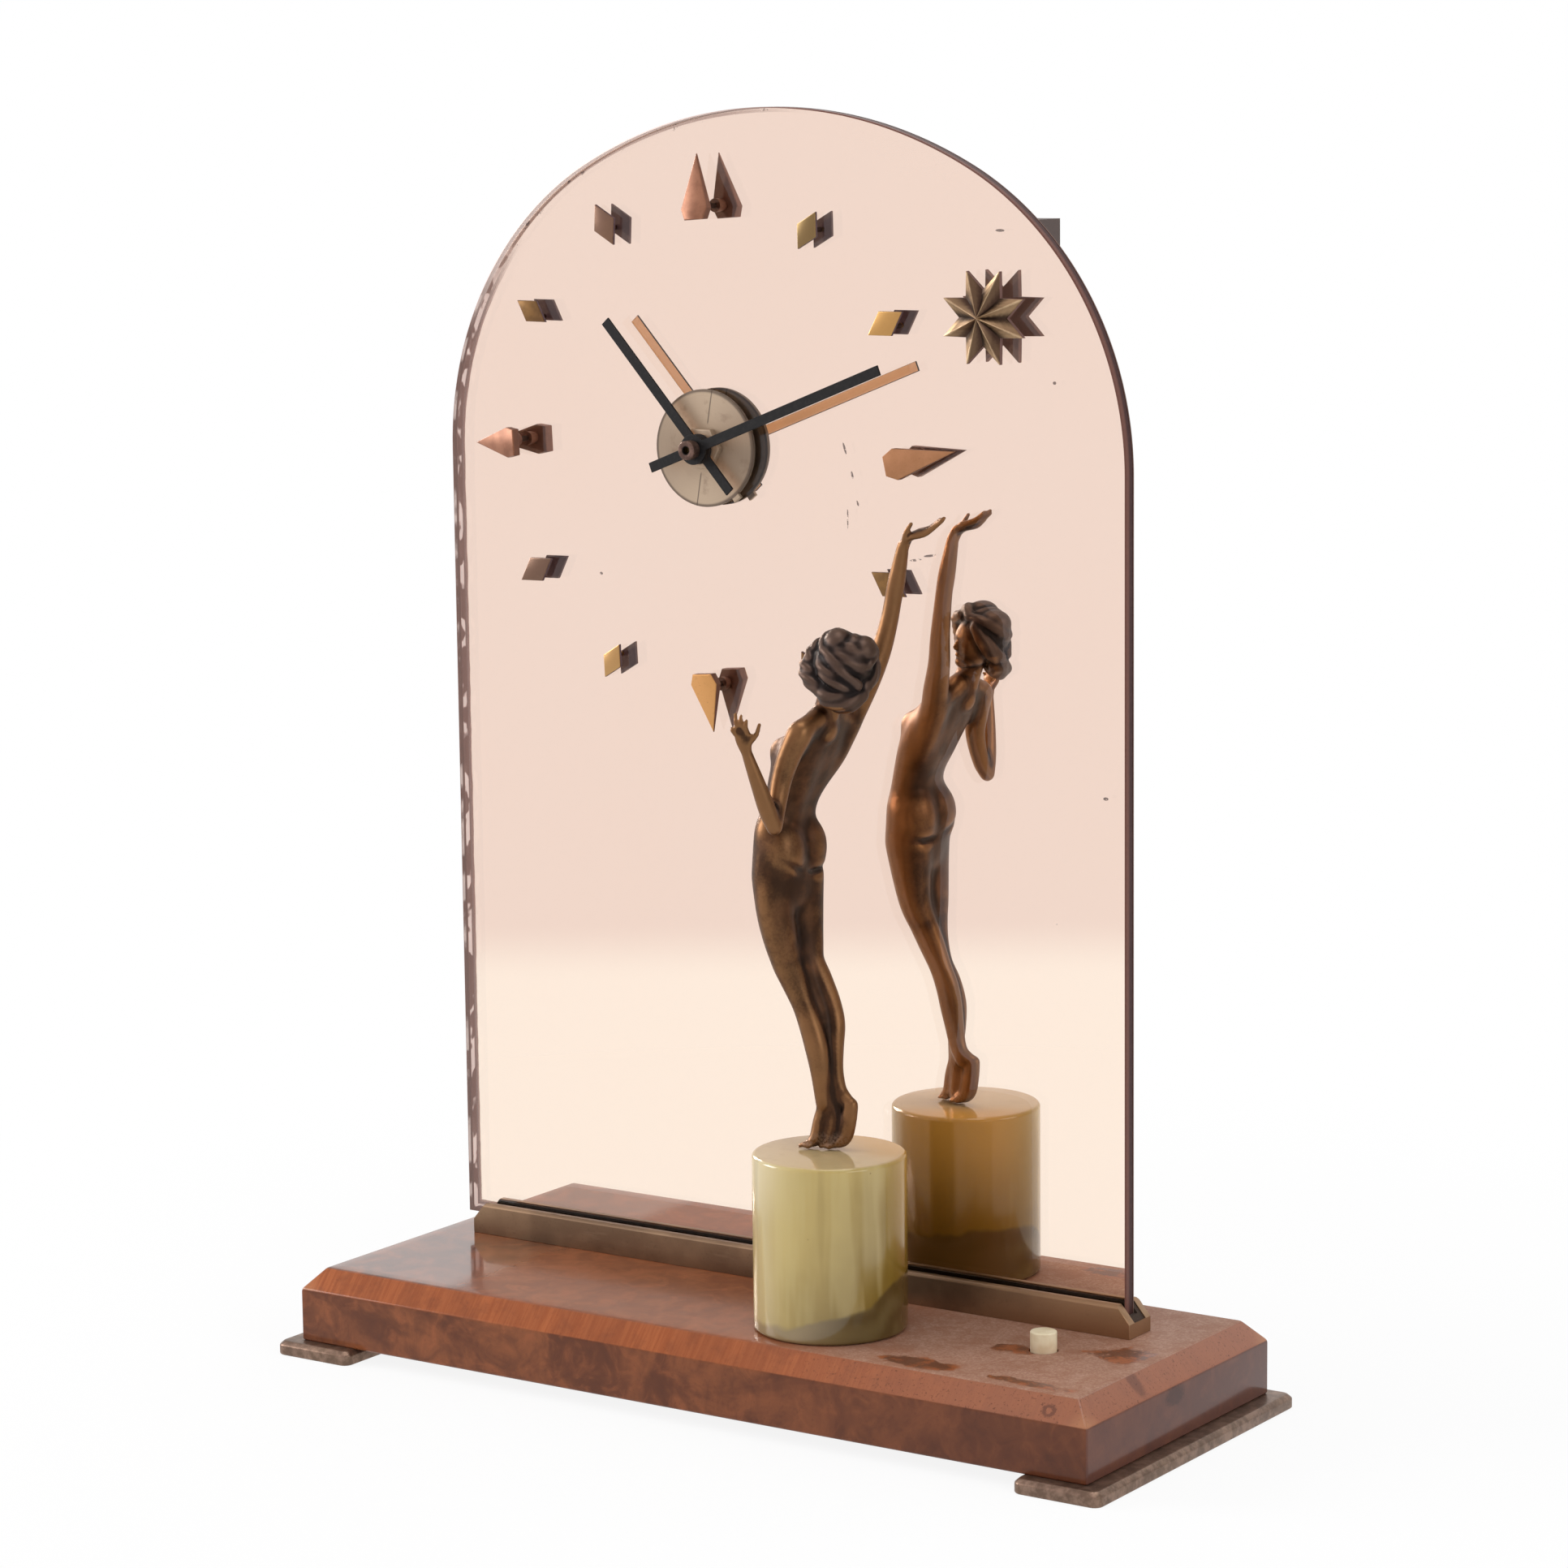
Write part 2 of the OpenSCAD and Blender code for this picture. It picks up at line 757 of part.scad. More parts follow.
// Disc, nut and hands
module dial_disc() {
    tab_w = 2.6;
    tab_out = 1.4;
    tab_angle = -52;
    color("lightgray")
        slab(disc_front, disc_t)
            translate(centre_at)
                difference() {
                    union() {
                        circle(r = disc_r, $fn = 120);
                        rotate(tab_angle)
                            translate([0, -tab_w / 2])
                                square([disc_r + tab_out, tab_w]);
                    }
                    circle(r = bush_r + snug_fit);
                }
}

module disc_washer() {
    color("dimgray")
        turned(centre_at, [[bush_r + snug_fit, glass_front - disc_washer_t],
            [disc_washer_r, glass_front - disc_washer_t], [disc_washer_r, glass_front],
            [bush_r + snug_fit, glass_front]]);
}

module dial_nut() {
    color("gray")
        difference() {
            slab(dial_nut_front, dial_nut_t)
                translate(centre_at)
                    circle(r = dial_nut_r, $fn = 6);
            bar(centre_at, dial_nut_front - over, disc_front + over, bush_r + snug_fit);
        }
}

module hand(front, l, angle, hole_r) {
    color("black")
        difference() {
            slab(front, hand_t)
                translate(centre_at)
                    rotate(-angle) {
                        translate([-hand_w / 2, -hand_tail])
                            square([hand_w, l + hand_tail]);
                        circle(r = hand_boss_r);
                    }
            bar(centre_at, front - over, front + hand_t + over, hole_r + snug_fit);
        }
}

module minute_hand() {
    hand(minute_hand_front, minute_l, minute_angle, cannon_r);
}

module hour_hand() {
    hand(hour_hand_front, hour_l, hour_angle, hour_pipe_r);
}

module hand_nut() {
    nut_bevel = 0.4;
    front = hand_nut_back - hand_nut_l;
    color("sienna")
        turned(centre_at, [[arbor_r + snug_fit, front], [hand_nut_r - nut_bevel, front],
            [hand_nut_r, front + nut_bevel], [hand_nut_r, hand_nut_back], [arbor_r + snug_fit, hand_nut_back]]);
}

// Plinth, statuette and the stud that holds them
module onyx_plinth() {
    r = plinth_d / 2;
    color("palegoldenrod")
        translate([plinth_x, plinth_y, base_top])
            rotate_extrude($fn = 120)
                polygon([[stud_r + loose_fit, 0], [r - plinth_bevel, 0], [r, plinth_bevel],
                    [r, plinth_h - plinth_bevel], [r - plinth_bevel, plinth_h], [stud_r + loose_fit, plinth_h]]);
}

// Joints of the statuette at its own height of 172, from the middle of the plinth's top. It faces -X.
sole_z = 0;
pelvis = [-12.6, 2, 75];
waist = [-13, 1.8, 91];
ribs = [-7.5, 1.4, 105];
collar = [-1.2, 0.6, 116];
neck_top = [3.6, -0.8, 126];
skull = [6.6, -1, 133];
hair_back = [9, -4, 132.5];
face = [4.2, 3.6, 130.6];
right_arm = [[1.6, 13.2, 118.5], [4.2, 19.2, 133], [7.2, 22, 147], [10.6, 22.4, 162.6]];
right_hand = [[13, 22.6, 165.5], [18.4, 23.2, 167], [23.4, 23.8, 171]];
right_thumb = [[12.4, 22.4, 165.5], [14, 20.4, 170.8]];
left_arm = [[-0.8, -12.4, 115.5], [-2.4, -16.2, 103], [-3.6, -18.8, 91], [-5.8, -22.4, 103.5], [-7.8, -25.8, 114]];
left_hand = [[-8, -26.6, 117], [-7.6, -28, 120], [-6.6, -28.8, 122.4]];
left_thumb = [[-7.8, -26.4, 116.5], [-4.4, -25.4, 119.8]];
left_leg = [[-14.6, -2.4, 69], [-15.4, -0.4, 58.5], [-10.8, 0, 46.5], [-5.8, 1, 36], [-2.8, 1, 17], [-2, 0.8, 13]];
right_leg = [[-10.6, 5.6, 69], [-9.4, 3.8, 58.5], [-5.8, 3.2, 46.5], [-0.8, 4.4, 36], [1.4, 3.6, 17], [2.4, 3.6, 13]];
left_foot = [[-0.4, 0.6, 10.6], [-2.6, -0.4, 6], [-5.4, -1.2, 2.4], [-8.6, -2.2, 1.3]];
right_foot = [[4, 3.8, 10.6], [1.8, 3.2, 6], [-1.2, 2.6, 2.4], [-4.6, 2, 1.3]];

// A limb is a row of balls joined two by two
module limb(points, radii, sides) {
    for (i = [0 : len(points) - 2])
        hull() {
            translate(points[i])
                sphere(r = radii[i], $fn = sides);
            translate(points[i + 1])
                sphere(r = radii[i + 1], $fn = sides);
        }
}

// The trunk is a row of ellipsoids joined two by two
module trunk(points, sizes, sides) {
    for (i = [0 : len(points) - 2])
        hull()
            for (k = [i, i + 1])
                translate(points[k])
                    scale(sizes[k])
                        sphere(r = 1, $fn = sides);
}

module statuette() {
    body_sides = 24;
    limb_sides = 16;
    finger_sides = 10;
    color("#5a4028")
        translate([plinth_x, plinth_y, plinth_top])
            difference() {
                scale(figure_scale)
                    intersection() {
                        union() {
                            trunk([pelvis, waist, ribs, collar],
                                [[8.4, 10, 8.6], [5.8, 7, 6], [7, 9.4, 7.4], [5, 12, 4.4]], body_sides);
                            for (side = [-4.4, 4.4]) {
                                translate(pelvis + [4.2, side, -3.4])
                                    sphere(r = 5.2, $fn = body_sides);
                                translate(ribs + [-5, side * 0.9, 2.4])
                                    sphere(r = 3.6, $fn = body_sides);
                            }
                            limb([collar, neck_top], [4.2, 3.5], limb_sides);
                            trunk([skull, hair_back], [[7.6, 7.6, 9.2], [8.6, 8.6, 9]], body_sides);
                            translate(face)
                                scale([5.6, 5.6, 7.4])
                                    sphere(r = 1, $fn = body_sides);
                            limb(right_arm, [3.5, 2.9, 2.5, 1.9], limb_sides);
                            limb(right_hand, [2, 1.5, 0.9], finger_sides);
                            limb(right_thumb, [1.2, 0.7], finger_sides);
                            limb(left_arm, [3.5, 2.9, 2.4, 2.2, 1.8], limb_sides);
                            limb(left_hand, [2, 1.5, 0.9], finger_sides);
                            limb(left_thumb, [1.2, 0.7], finger_sides);
                            limb(left_leg, [6.4, 4.9, 3.5, 3.6, 2.3, 2.2], limb_sides);
                            limb(right_leg, [6.4, 4.9, 3.5, 3.6, 2.3, 2.2], limb_sides);
                            limb(left_foot, [2.2, 2.2, 2.4, 1.3], limb_sides);
                            limb(right_foot, [2.2, 2.2, 2.4, 1.3], limb_sides);
                        }
                        translate([-100, -100, sole_z])
                            cube(200);
                    }
                translate([0, 0, -over])
                    cylinder(h = stud_grip + air + over, r = stud_r + snug_fit, $fn = 24);
            }
}

module statuette_stud() {
    low = base_z + stud_pocket_h - stud_washer_h - stud_nut_h - stud_tail;
    color("silver")
        translate([plinth_x, plinth_y, low])
            cylinder(h = plinth_top + stud_grip - low, r = stud_r);
}

module stud_nut() {
    top = base_z + stud_pocket_h;
    color("gray")
        translate([plinth_x, plinth_y, 0])
            difference() {
                union() {
                    translate([0, 0, top - stud_washer_h])
                        cylinder(h = stud_washer_h, r = stud_washer_r);
                    translate([0, 0, top - stud_washer_h - stud_nut_h])
                        cylinder(h = stud_nut_h, r = stud_nut_r, $fn = 6);
                }
                cylinder(h = top + over, r = stud_r + snug_fit);
            }
}

// Push button and its works in the base
module push_button() {
    crown = 0.5;
    top = base_top + button_up;
    color("ivory")
        translate([button_x, button_y, 0])
            rotate_extrude()
                polygon([[0, stem_end], [stem_r, stem_end], [stem_r, collar_top - collar_t],
                    [collar_r, collar_top - collar_t], [collar_r, collar_top], [button_r, collar_top],
                    [button_r, top - crown], [button_r - crown, top], [0, top]]);
}

module button_bush() {
    inner = button_r + run_fit;
    low = pocket_top - bush_flange_t;
    color("goldenrod")
        translate([button_x, button_y, 0])
            rotate_extrude()
                polygon([[inner, low], [bush_flange_r, low], [bush_flange_r, pocket_top],
                    [inner + bush_wall, pocket_top], [inner + bush_wall, base_top - bush_cap],
                    [inner, base_top - bush_cap]]);
}

// One wire wound round the stem: rings of a tube along a helix
module button_spring() {
    sides = 6;
    steps = 12 * spring_turns;
    rise = (spring_top - spring_low) / steps;
    tube = [for (i = [0 : steps], k = [0 : sides - 1])
        let (r = spring_coil_r + spring_wire_r * cos(360 * k / sides), a = 360 * spring_turns * i / steps)
            [r * cos(a), r * sin(a), spring_low + i * rise + spring_wire_r * sin(360 * k / sides)]];
    last = steps * sides;
    color("silver")
        translate([button_x, button_y, 0])
            polyhedron(points = tube, faces = concat(
                [[for (k = [0 : sides - 1]) k]],
                [for (i = [0 : steps - 1], k = [0 : sides - 1])
                    let (a = i * sides + k, b = i * sides + (k + 1) % sides) [a, a + sides, b]],
                [for (i = [0 : steps - 1], k = [0 : sides - 1])
                    let (a = i * sides + k, b = i * sides + (k + 1) % sides) [b, a + sides, b + sides]],
                [[for (k = [sides - 1 : -1 : 0]) last + k]]));
}

module contact_stud() {
    color("goldenrod")
        translate([button_x, button_y, board_top])
            cylinder(h = contact_up, r = contact_r);
}

module contact_board() {
    color("peru")
        translate([button_x - board_w / 2, button_y - board_w / 2, board_top - board_t])
            cube([board_w, board_w, board_t]);
}

module button_cover() {
    color("darkgray")
        difference() {
            translate([button_x - pocket_w / 2 - cover_plate_lap, button_y - pocket_d / 2, base_z])
                cube([pocket_w + 2 * cover_plate_lap, pocket_d, cover_plate_t]);
            at_cover_plate_screws()
                sunk_screw(short_screw_r + snug_fit, short_head_r + snug_fit, short_head_h, short_screw_l);
        }
}

module cover_plate_screws() {
    color("dimgray")
        at_cover_plate_screws()
            sunk_screw(short_screw_r, short_head_r, short_head_h, short_screw_l);
}

// Plates of the movement and what holds them
module plate_outline() {
    translate(centre_at + [-plate_w / 2, -plate_below])
        square([plate_w, plate_above + plate_below]);
}

module mount_washer() {
    washer_r = 14;
    color("dimgray")
        turned(centre_at, [[bush_r + snug_fit, glass_back], [washer_r, glass_back],
            [washer_r, mount_front], [bush_r + snug_fit, mount_front]]);
}

module mount_plate() {
    color("silver")
        difference() {
            union() {
                slab(mount_front, plate_t)
                    plate_outline();
                bar(centre_at, bush_front, mount_back, bush_r);
            }
            bar(centre_at, bush_front - over, mount_back + over, hour_pipe_r + run_fit);
            for (at = pillar_at)
                turned(at, [[0, mount_front - over], [pillar_head_r + snug_fit, mount_front - over],
                    [pillar_head_r + snug_fit, mount_front], [pillar_screw_r + snug_fit, mount_front + pillar_head_h],
                    [pillar_screw_r + snug_fit, mount_back + over], [0, mount_back + over]]);
        }
}

module motion_posts() {
    color("goldenrod")
        for (at = pillar_at)
            difference() {
                bar(at, mount_back, front_plate_y, pillar_r);
                bar(at, mount_back - over, front_plate_y + over, pillar_screw_r + snug_fit);
            }
}

module plate_screws() {
    tip = train_front + pillar_bite;
    color("dimgray")
        for (at = pillar_at)
            turned(at, [[0, mount_front], [pillar_head_r, mount_front],
                [pillar_screw_r, mount_front + pillar_head_h], [pillar_screw_r, tip], [0, tip]]);
}

module pivot_holes(y) {
    bar(third_at, y - over, y + plate_t + over, arbor_r + run_fit);
    bar(centre_at, y - over, y + plate_t + over, arbor_r + run_fit);
    bar(barrel_at, y - over, y + plate_t + over, winding_r + run_fit);
    for (at = [escape_at, lever_at, balance_at])
        bar(at, y - over, y + plate_t + over, pivot_r + run_fit);
    for (at = pillar_at)
        bar(at, y - over, y + plate_t + over, pillar_screw_r + snug_fit);
}

module front_plate() {
    color("gold")
        difference() {
            slab(front_plate_y, plate_t)
                plate_outline();
            pivot_holes(front_plate_y);
            bar(minute_at, front_plate_y - over, train_front + over, arbor_r + snug_fit);
        }
}

module rear_plate() {
    color("gold")
        difference() {
            slab(train_back, plate_t)
                plate_outline();
            pivot_holes(train_back);
            bar(click_at, train_back - over, rear_plate_back + over, arbor_r + snug_fit);
        }
}

module pillars() {
    color("goldenrod")
        for (at = pillar_at)
            difference() {
                bar(at, train_front, train_back, pillar_r);
                bar(at, train_front - over, train_front + pillar_bite + air, pillar_screw_r + snug_fit);
                bar(at, train_back - pillar_bite - air, train_back + over, pillar_screw_r + snug_fit);
            }
}

// Motion work between the mounting plate and the front plate
module cannon_pinion() {
    color("silver")
        difference() {
            union() {
                bar(centre_at, hand_nut_back, cannon_teeth_y + cannon_teeth_h, cannon_r);
                wheel(centre_at, cannon_teeth_y, cannon_teeth_h, pinion_teeth, minute_m,
                    minute_dir + 180 / pinion_teeth);
            }
            bar(centre_at, hand_nut_back - over, front_plate_y, arbor_r + snug_fit);
        }
}

module hour_wheel() {
    color("gold")
        difference() {
            union() {
                bar(centre_at, hour_hand_front - 0.5, hour_wheel_y + wheel_t, hour_pipe_r);
                wheel(centre_at, hour_wheel_y, wheel_t, hour_teeth, hour_m, minute_dir);
            }
            bar(centre_at, hour_hand_front - over, hour_wheel_y + wheel_t + over, cannon_r + run_fit);
        }
}

module minute_wheel() {
    color("gold")
        difference() {
            union() {
                wheel(minute_at, minute_wheel_y, wheel_t, minute_teeth, minute_m, minute_dir + 180);
                wheel(minute_at, minute_pinion_y, minute_wheel_y - minute_pinion_y, pinion_teeth, hour_m,
                    minute_dir + 180 + 180 / pinion_teeth);
            }
            bar(minute_at, minute_pinion_y - over, front_plate_y, arbor_r + run_fit);
        }
}

module minute_stud() {
    color("silver")
        bar(minute_at, minute_pinion_y - 0.2, train_front, arbor_r);
}

// Going train between the plates
module centre_wheel() {
    color("gold")
        union() {
            bar(centre_at, arbor_front, key_y + knob_l - 0.4, arbor_r);
            wheel(centre_at, great_y - 0.3, centre_pinion_h, pinion_teeth, great_m, barrel_dir + 180 / pinion_teeth);
            wheel(centre_at, centre_wheel_y, wheel_t, centre_teeth, centre_m, third_dir);
        }
}

module third_wheel() {
    pinion_y = centre_wheel_y - (third_pinion_h - wheel_t) / 2;
    color("gold")
        union() {
            bar(third_at, front_plate_y + 0.2, rear_plate_back - 0.2, arbor_r);
            wheel(third_at, pinion_y, third_pinion_h, pinion_teeth, centre_m, third_dir + 180 + 180 / pinion_teeth);
            wheel(third_at, third_wheel_y, wheel_t, third_teeth, third_m, escape_dir);
        }
}

module escape_wheel() {
    points = 15;
    step = 360 / points;
    pinion_h = 2;
    pinion_y = third_wheel_y - (pinion_h - wheel_t) / 2;
    color("gold")
        union() {
            bar(escape_at, front_plate_y + 0.2, rear_plate_back - 0.2, pivot_r);
            wheel(escape_at, pinion_y, pinion_h, pinion_teeth, third_m, escape_dir + 180 + 180 / pinion_teeth);
            slab(escape_wheel_y, escape_wheel_t)
                translate(escape_at)
                    polygon([for (i = [0 : points - 1], k = [[escape_r - 1.6, 0], [escape_r, 0.2], [escape_r, 0.3],
                        [escape_r - 1.6, 0.5]]) polar(k[0], (i + k[1]) * step)]);
        }
}

module pallet_lever() {
    arm_w = 0.9;
    pallet_r = 1 + escape_r;
    pallet_angle = 32;
    fork_l = 7;
    color("silver")
        union() {
            bar(lever_at, front_plate_y + 0.2, rear_plate_back - 0.2, pivot_r);
            slab(escape_wheel_y, escape_wheel_t)
                translate(lever_at)
                    rotate(lever_dir) {
                        circle(r = 1.6);
                        translate([0, -arm_w / 2])
                            square([fork_l, arm_w]);
                        for (side = [-1, 1])
                            rotate(side * (180 - atan2(pallet_r * sin(pallet_angle),
                                lever_away - pallet_r * cos(pallet_angle))))
                                translate([0, -arm_w / 2])
                                    square([4.8, arm_w]);
                    }
        }
}

module balance_wheel() {
    rim_w = 1.4;
    rim_t = 1.4;
    arm_w = 1.6;
    roller_r = 1.9;
    hub_r = 1.8;
    hair_y = train_front + 10;
    color("goldenrod")
        union() {
            bar(balance_at, front_plate_y + 0.2, rear_plate_back - 0.2, pivot_r);
            bar(balance_at, escape_wheel_y - 0.2, escape_wheel_y + escape_wheel_t + 0.2, roller_r);
            slab(balance_rim_y, rim_t)
                translate(balance_at) {
                    difference() {
                        circle(r = balance_r);
                        circle(r = balance_r - rim_w);
                    }
                    circle(r = hub_r);
                    square([arm_w, 2 * balance_r - rim_w], center = true);
                }
            slab(hair_y, 0.6)
                translate(balance_at)
                    spiral(pivot_r - 0.2, 5, 4, 0.3);
        }
}

// Mainspring barrel, its arbor and the winding
module barrel() {
    floor_t = 0.8;
    inside = great_y + great_t;
    color("gold")
        difference() {
            union() {
                wheel(barrel_at, great_y, great_t, great_teeth, great_m, barrel_dir + 180);
                bar(barrel_at, inside, drum_back + drum_lid, drum_r);
            }
            bar(barrel_at, great_y + floor_t, drum_back, drum_r - drum_wall);
            bar(barrel_at, great_y - over, drum_back + drum_lid + over, winding_r + run_fit);
        }
}

module mainspring() {
    strip = 0.6;
    edge = 0.4;
    color("slategray")
        slab(great_y + 0.8 + edge, drum_back - great_y - 0.8 - 2 * edge)
            translate(barrel_at)
                spiral(winding_hub_r + 0.4, drum_r - drum_wall - strip - 0.3, 7, strip);
}

module winding_arbor() {
    color("silver")
        union() {
            bar(barrel_at, front_plate_y + 0.2, ratchet_y + ratchet_t, winding_r);
            bar(barrel_at, great_y + 0.8 + air, drum_back - air, winding_hub_r);
            slab(ratchet_y, key_y + key_l - 2 - ratchet_y)
                translate(barrel_at)
                    square(square_w - 0.2, center = true);
        }
}

module ratchet_wheel() {
    step = 360 / ratchet_teeth;
    color("silver")
        difference() {
            slab(ratchet_y, ratchet_t)
                translate(barrel_at)
                    polygon([for (i = [0 : ratchet_teeth - 1], k = [[ratchet_r - 1, 0], [ratchet_r, 0.05]])
                        polar(k[0], click_dir + (i + k[1]) * step)]);
            bar(barrel_at, ratchet_y - over, ratchet_y + ratchet_t + over, winding_r + snug_fit);
        }
}

module click() {
    color("silver")
        difference() {
            slab(ratchet_y, ratchet_t)
                translate(click_at) {
                    circle(r = 2.4);
                    rotate(click_dir - 90)
                        polygon([[-1.9, -1.2], [5.2, -5.6], [6.4, -4.2], [1.9, 1.2]]);
                }
            bar(click_at, ratchet_y - over, ratchet_y + ratchet_t + over, arbor_r + run_fit);
        }
}

module click_screw() {
    color("dimgray")
        bar(click_at, train_back, ratchet_y + ratchet_t + 0.2, arbor_r);
}

module set_knob() {
    color("goldenrod")
        difference() {
            slab(key_y, knob_l)
                translate(centre_at)
                    polygon([for (i = [0 : 2 * knob_ribs - 1])
                        polar(knob_r - (i % 2) * 0.4, i * 180 / knob_ribs)]);
            bar(centre_at, key_y - over, key_y + knob_l - 0.4, arbor_r + snug_fit);
        }
}

module winding_key() {
    color("goldenrod")
        difference() {
            union() {
                bar(barrel_at, key_y, key_y + key_l, key_tube_r);
                slab(key_y + 1.5, key_l - 1.5)
                    translate(barrel_at) {
                        square([2 * key_wing, key_wing_t], center = true);
                        for (side = [-1, 1])
                            translate([side * key_wing, 0])
                                circle(r = key_wing_t);
                    }
            }
            slab(key_y - over, key_l - 1.8 + over)
                translate(barrel_at)
                    square(square_w, center = true);
        }
}

// Dust cover over the movement
module cover_spacers() {
    color("silver")
        for (at = pillar_at)
            difference() {
                bar(at, rear_plate_back, cover_inside, pillar_r);
                bar(at, rear_plate_back - over, cover_inside + over, pillar_screw_r + snug_fit);
            }
}

module dust_cover() {
    low = [glass_x - cover_w / 2, glass_z + cover_up];
    key_hole_r = 4;
    color("dimgray")
        difference() {
            slab(cover_front, cover_back - cover_front)
                translate(low)
                    square([cover_w, cover_h]);
            slab(cover_front - over, cover_inside - cover_front + over)
                translate(low + [cover_t, cover_t])
                    square([cover_w - 2 * cover_t, cover_h - 2 * cover_t]);
            bar(barrel_at, cover_inside - over, cover_back + over, key_hole_r);
            bar(centre_at, cover_inside - over, cover_back + over, arbor_r + air);
            for (at = pillar_at)
                bar(at, cover_inside - over, cover_back + over, pillar_screw_r + snug_fit);
        }
}

module cover_screws() {
    tip = train_back - pillar_bite;
    color("dimgray")
        for (at = pillar_at)
            turned(at, [[0, tip], [pillar_screw_r, tip], [pillar_screw_r, cover_back], [pillar_head_r, cover_back],
                [pillar_head_r, cover_back + pillar_head_h], [0, cover_back + pillar_head_h]]);
}

base_block();
foot_left();
foot_right();
foot_screws();
mirror_rail();
rail_screws();
rail_packing();
mirror_glass();
mirror_silver();
hour_lozenges();
quarter_drops();
star();
marker_clips();
dial_disc();
disc_washer();
dial_nut();
minute_hand();
hour_hand();
hand_nut();
onyx_plinth();
statuette();
statuette_stud();
stud_nut();
push_button();
button_bush();
button_spring();
contact_stud();
contact_board();
button_cover();
cover_plate_screws();
mount_washer();
mount_plate();
motion_posts();
plate_screws();
front_plate();
rear_plate();
pillars();
cannon_pinion();
hour_wheel();
minute_wheel();
minute_stud();
centre_wheel();
third_wheel();
escape_wheel();
pallet_lever();
balance_wheel();
barrel();
mainspring();
winding_arbor();
ratchet_wheel();
click();
click_screw();
set_knob();
winding_key();
cover_spacers();
dust_cover();
cover_screws();
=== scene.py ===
"""Mirror clock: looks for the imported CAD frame, piece by piece in the order in which it is put together."""
import json
import math

import bmesh
import bpy
import numpy as np
from mathutils import Matrix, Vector
from mathutils.geometry import tessellate_polygon

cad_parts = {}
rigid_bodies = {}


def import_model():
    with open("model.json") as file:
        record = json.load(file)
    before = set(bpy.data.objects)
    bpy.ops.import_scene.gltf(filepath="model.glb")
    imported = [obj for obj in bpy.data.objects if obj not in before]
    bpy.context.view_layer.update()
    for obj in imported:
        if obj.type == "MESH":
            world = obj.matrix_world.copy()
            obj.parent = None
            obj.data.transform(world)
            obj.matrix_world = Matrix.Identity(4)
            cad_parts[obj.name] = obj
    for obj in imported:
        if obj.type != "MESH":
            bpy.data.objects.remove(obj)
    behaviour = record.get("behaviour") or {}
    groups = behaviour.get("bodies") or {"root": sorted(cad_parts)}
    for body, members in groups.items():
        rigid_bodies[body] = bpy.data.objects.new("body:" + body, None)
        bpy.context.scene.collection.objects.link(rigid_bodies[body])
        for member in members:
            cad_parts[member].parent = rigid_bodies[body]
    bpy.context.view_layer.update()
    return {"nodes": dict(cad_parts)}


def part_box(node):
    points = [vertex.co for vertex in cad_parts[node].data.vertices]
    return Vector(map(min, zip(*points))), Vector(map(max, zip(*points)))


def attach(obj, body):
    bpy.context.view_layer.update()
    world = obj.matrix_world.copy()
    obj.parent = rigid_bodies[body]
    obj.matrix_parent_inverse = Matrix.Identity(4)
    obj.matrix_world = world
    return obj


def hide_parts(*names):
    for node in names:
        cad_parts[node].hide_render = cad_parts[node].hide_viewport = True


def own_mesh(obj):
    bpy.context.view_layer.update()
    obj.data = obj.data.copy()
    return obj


for left_over in list(bpy.data.objects):
    bpy.data.objects.remove(left_over)
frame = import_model()

# Foot plates: two bars of cast brass under the ends of the base, their top edges bevelled and their
# corners rounded. The colour has gone dull brown-green. Each is held by two countersunk steel screws.
MM = 0.001
FOOT_W, FOOT_L, FOOT_T = 26, 107, 4
FOOT_OUTER, FOOT_CORNER, FOOT_BEVEL, FOOT_EASE, FOOT_TOP_INSET = 136, 2.5, 1.2, 0.3, 2.5
FOOT_SCREW_X, FOOT_SCREW_Y = 120, 34
SCREW_R, SCREW_HEAD_R, SCREW_HEAD_H, SCREW_SINK = 1.52, 3.02, 1.6, 0.2


class Wire:
    """One output of a shader node. Sums and products of wires add Math nodes to the tree being made."""

    tree = None

    def __init__(self, socket):
        self.socket = socket

    @classmethod
    def node(cls, kind, settings=None, inputs=None, out=0):
        """A new node of this type: its settings are set first, then the values or links of its sockets."""
        new = cls.tree.nodes.new("ShaderNode" + kind)
        for key, value in (settings or {}).items():
            if key == "stops":
                stops = new.color_ramp.elements
                stops[0].position, stops[0].color = value[0]
                stops[1].position, stops[1].color = value[-1]
                for position, colour in value[1:-1]:
                    stops.new(position).color = colour
            else:
                setattr(new, key, value)
        for key, value in (inputs or {}).items():
            if isinstance(value, Wire):
                cls.tree.links.new(value.socket, new.inputs[key])
            else:
                new.inputs[key].default_value = value
        return cls(new.outputs[out]) if new.outputs else None

    def math(self, operation, *others):
        """A Math node of this operation on this wire and the others."""
        return Wire.node("Math", {"operation": operation}, dict(enumerate((self, *others))))

    def __add__(self, other):
        return self.math("ADD", other)

    __radd__ = __add__

    def __sub__(self, other):
        return self.math("SUBTRACT", other)

    def __rsub__(self, other):
        return Wire.node("Math", {"operation": "SUBTRACT"}, {0: other, 1: self})

    def __mul__(self, other):
        return self.math("MULTIPLY", other)

    __rmul__ = __mul__

    def __truediv__(self, other):
        return self.math("DIVIDE", other)

    def __rtruediv__(self, other):
        return Wire.node("Math", {"operation": "DIVIDE"}, {0: other, 1: self})

    def __abs__(self):
        return self.math("ABSOLUTE")

    def rise(self, low, high):
        """0 below low, 1 above high, and a smooth step between them."""
        return Wire.node("MapRange", {"interpolation_type": "SMOOTHSTEP"},
                         {"Value": self, "From Min": low, "From Max": high})

    def capped(self):
        """No more than 1."""
        return self.math("MINIMUM", 1.0)


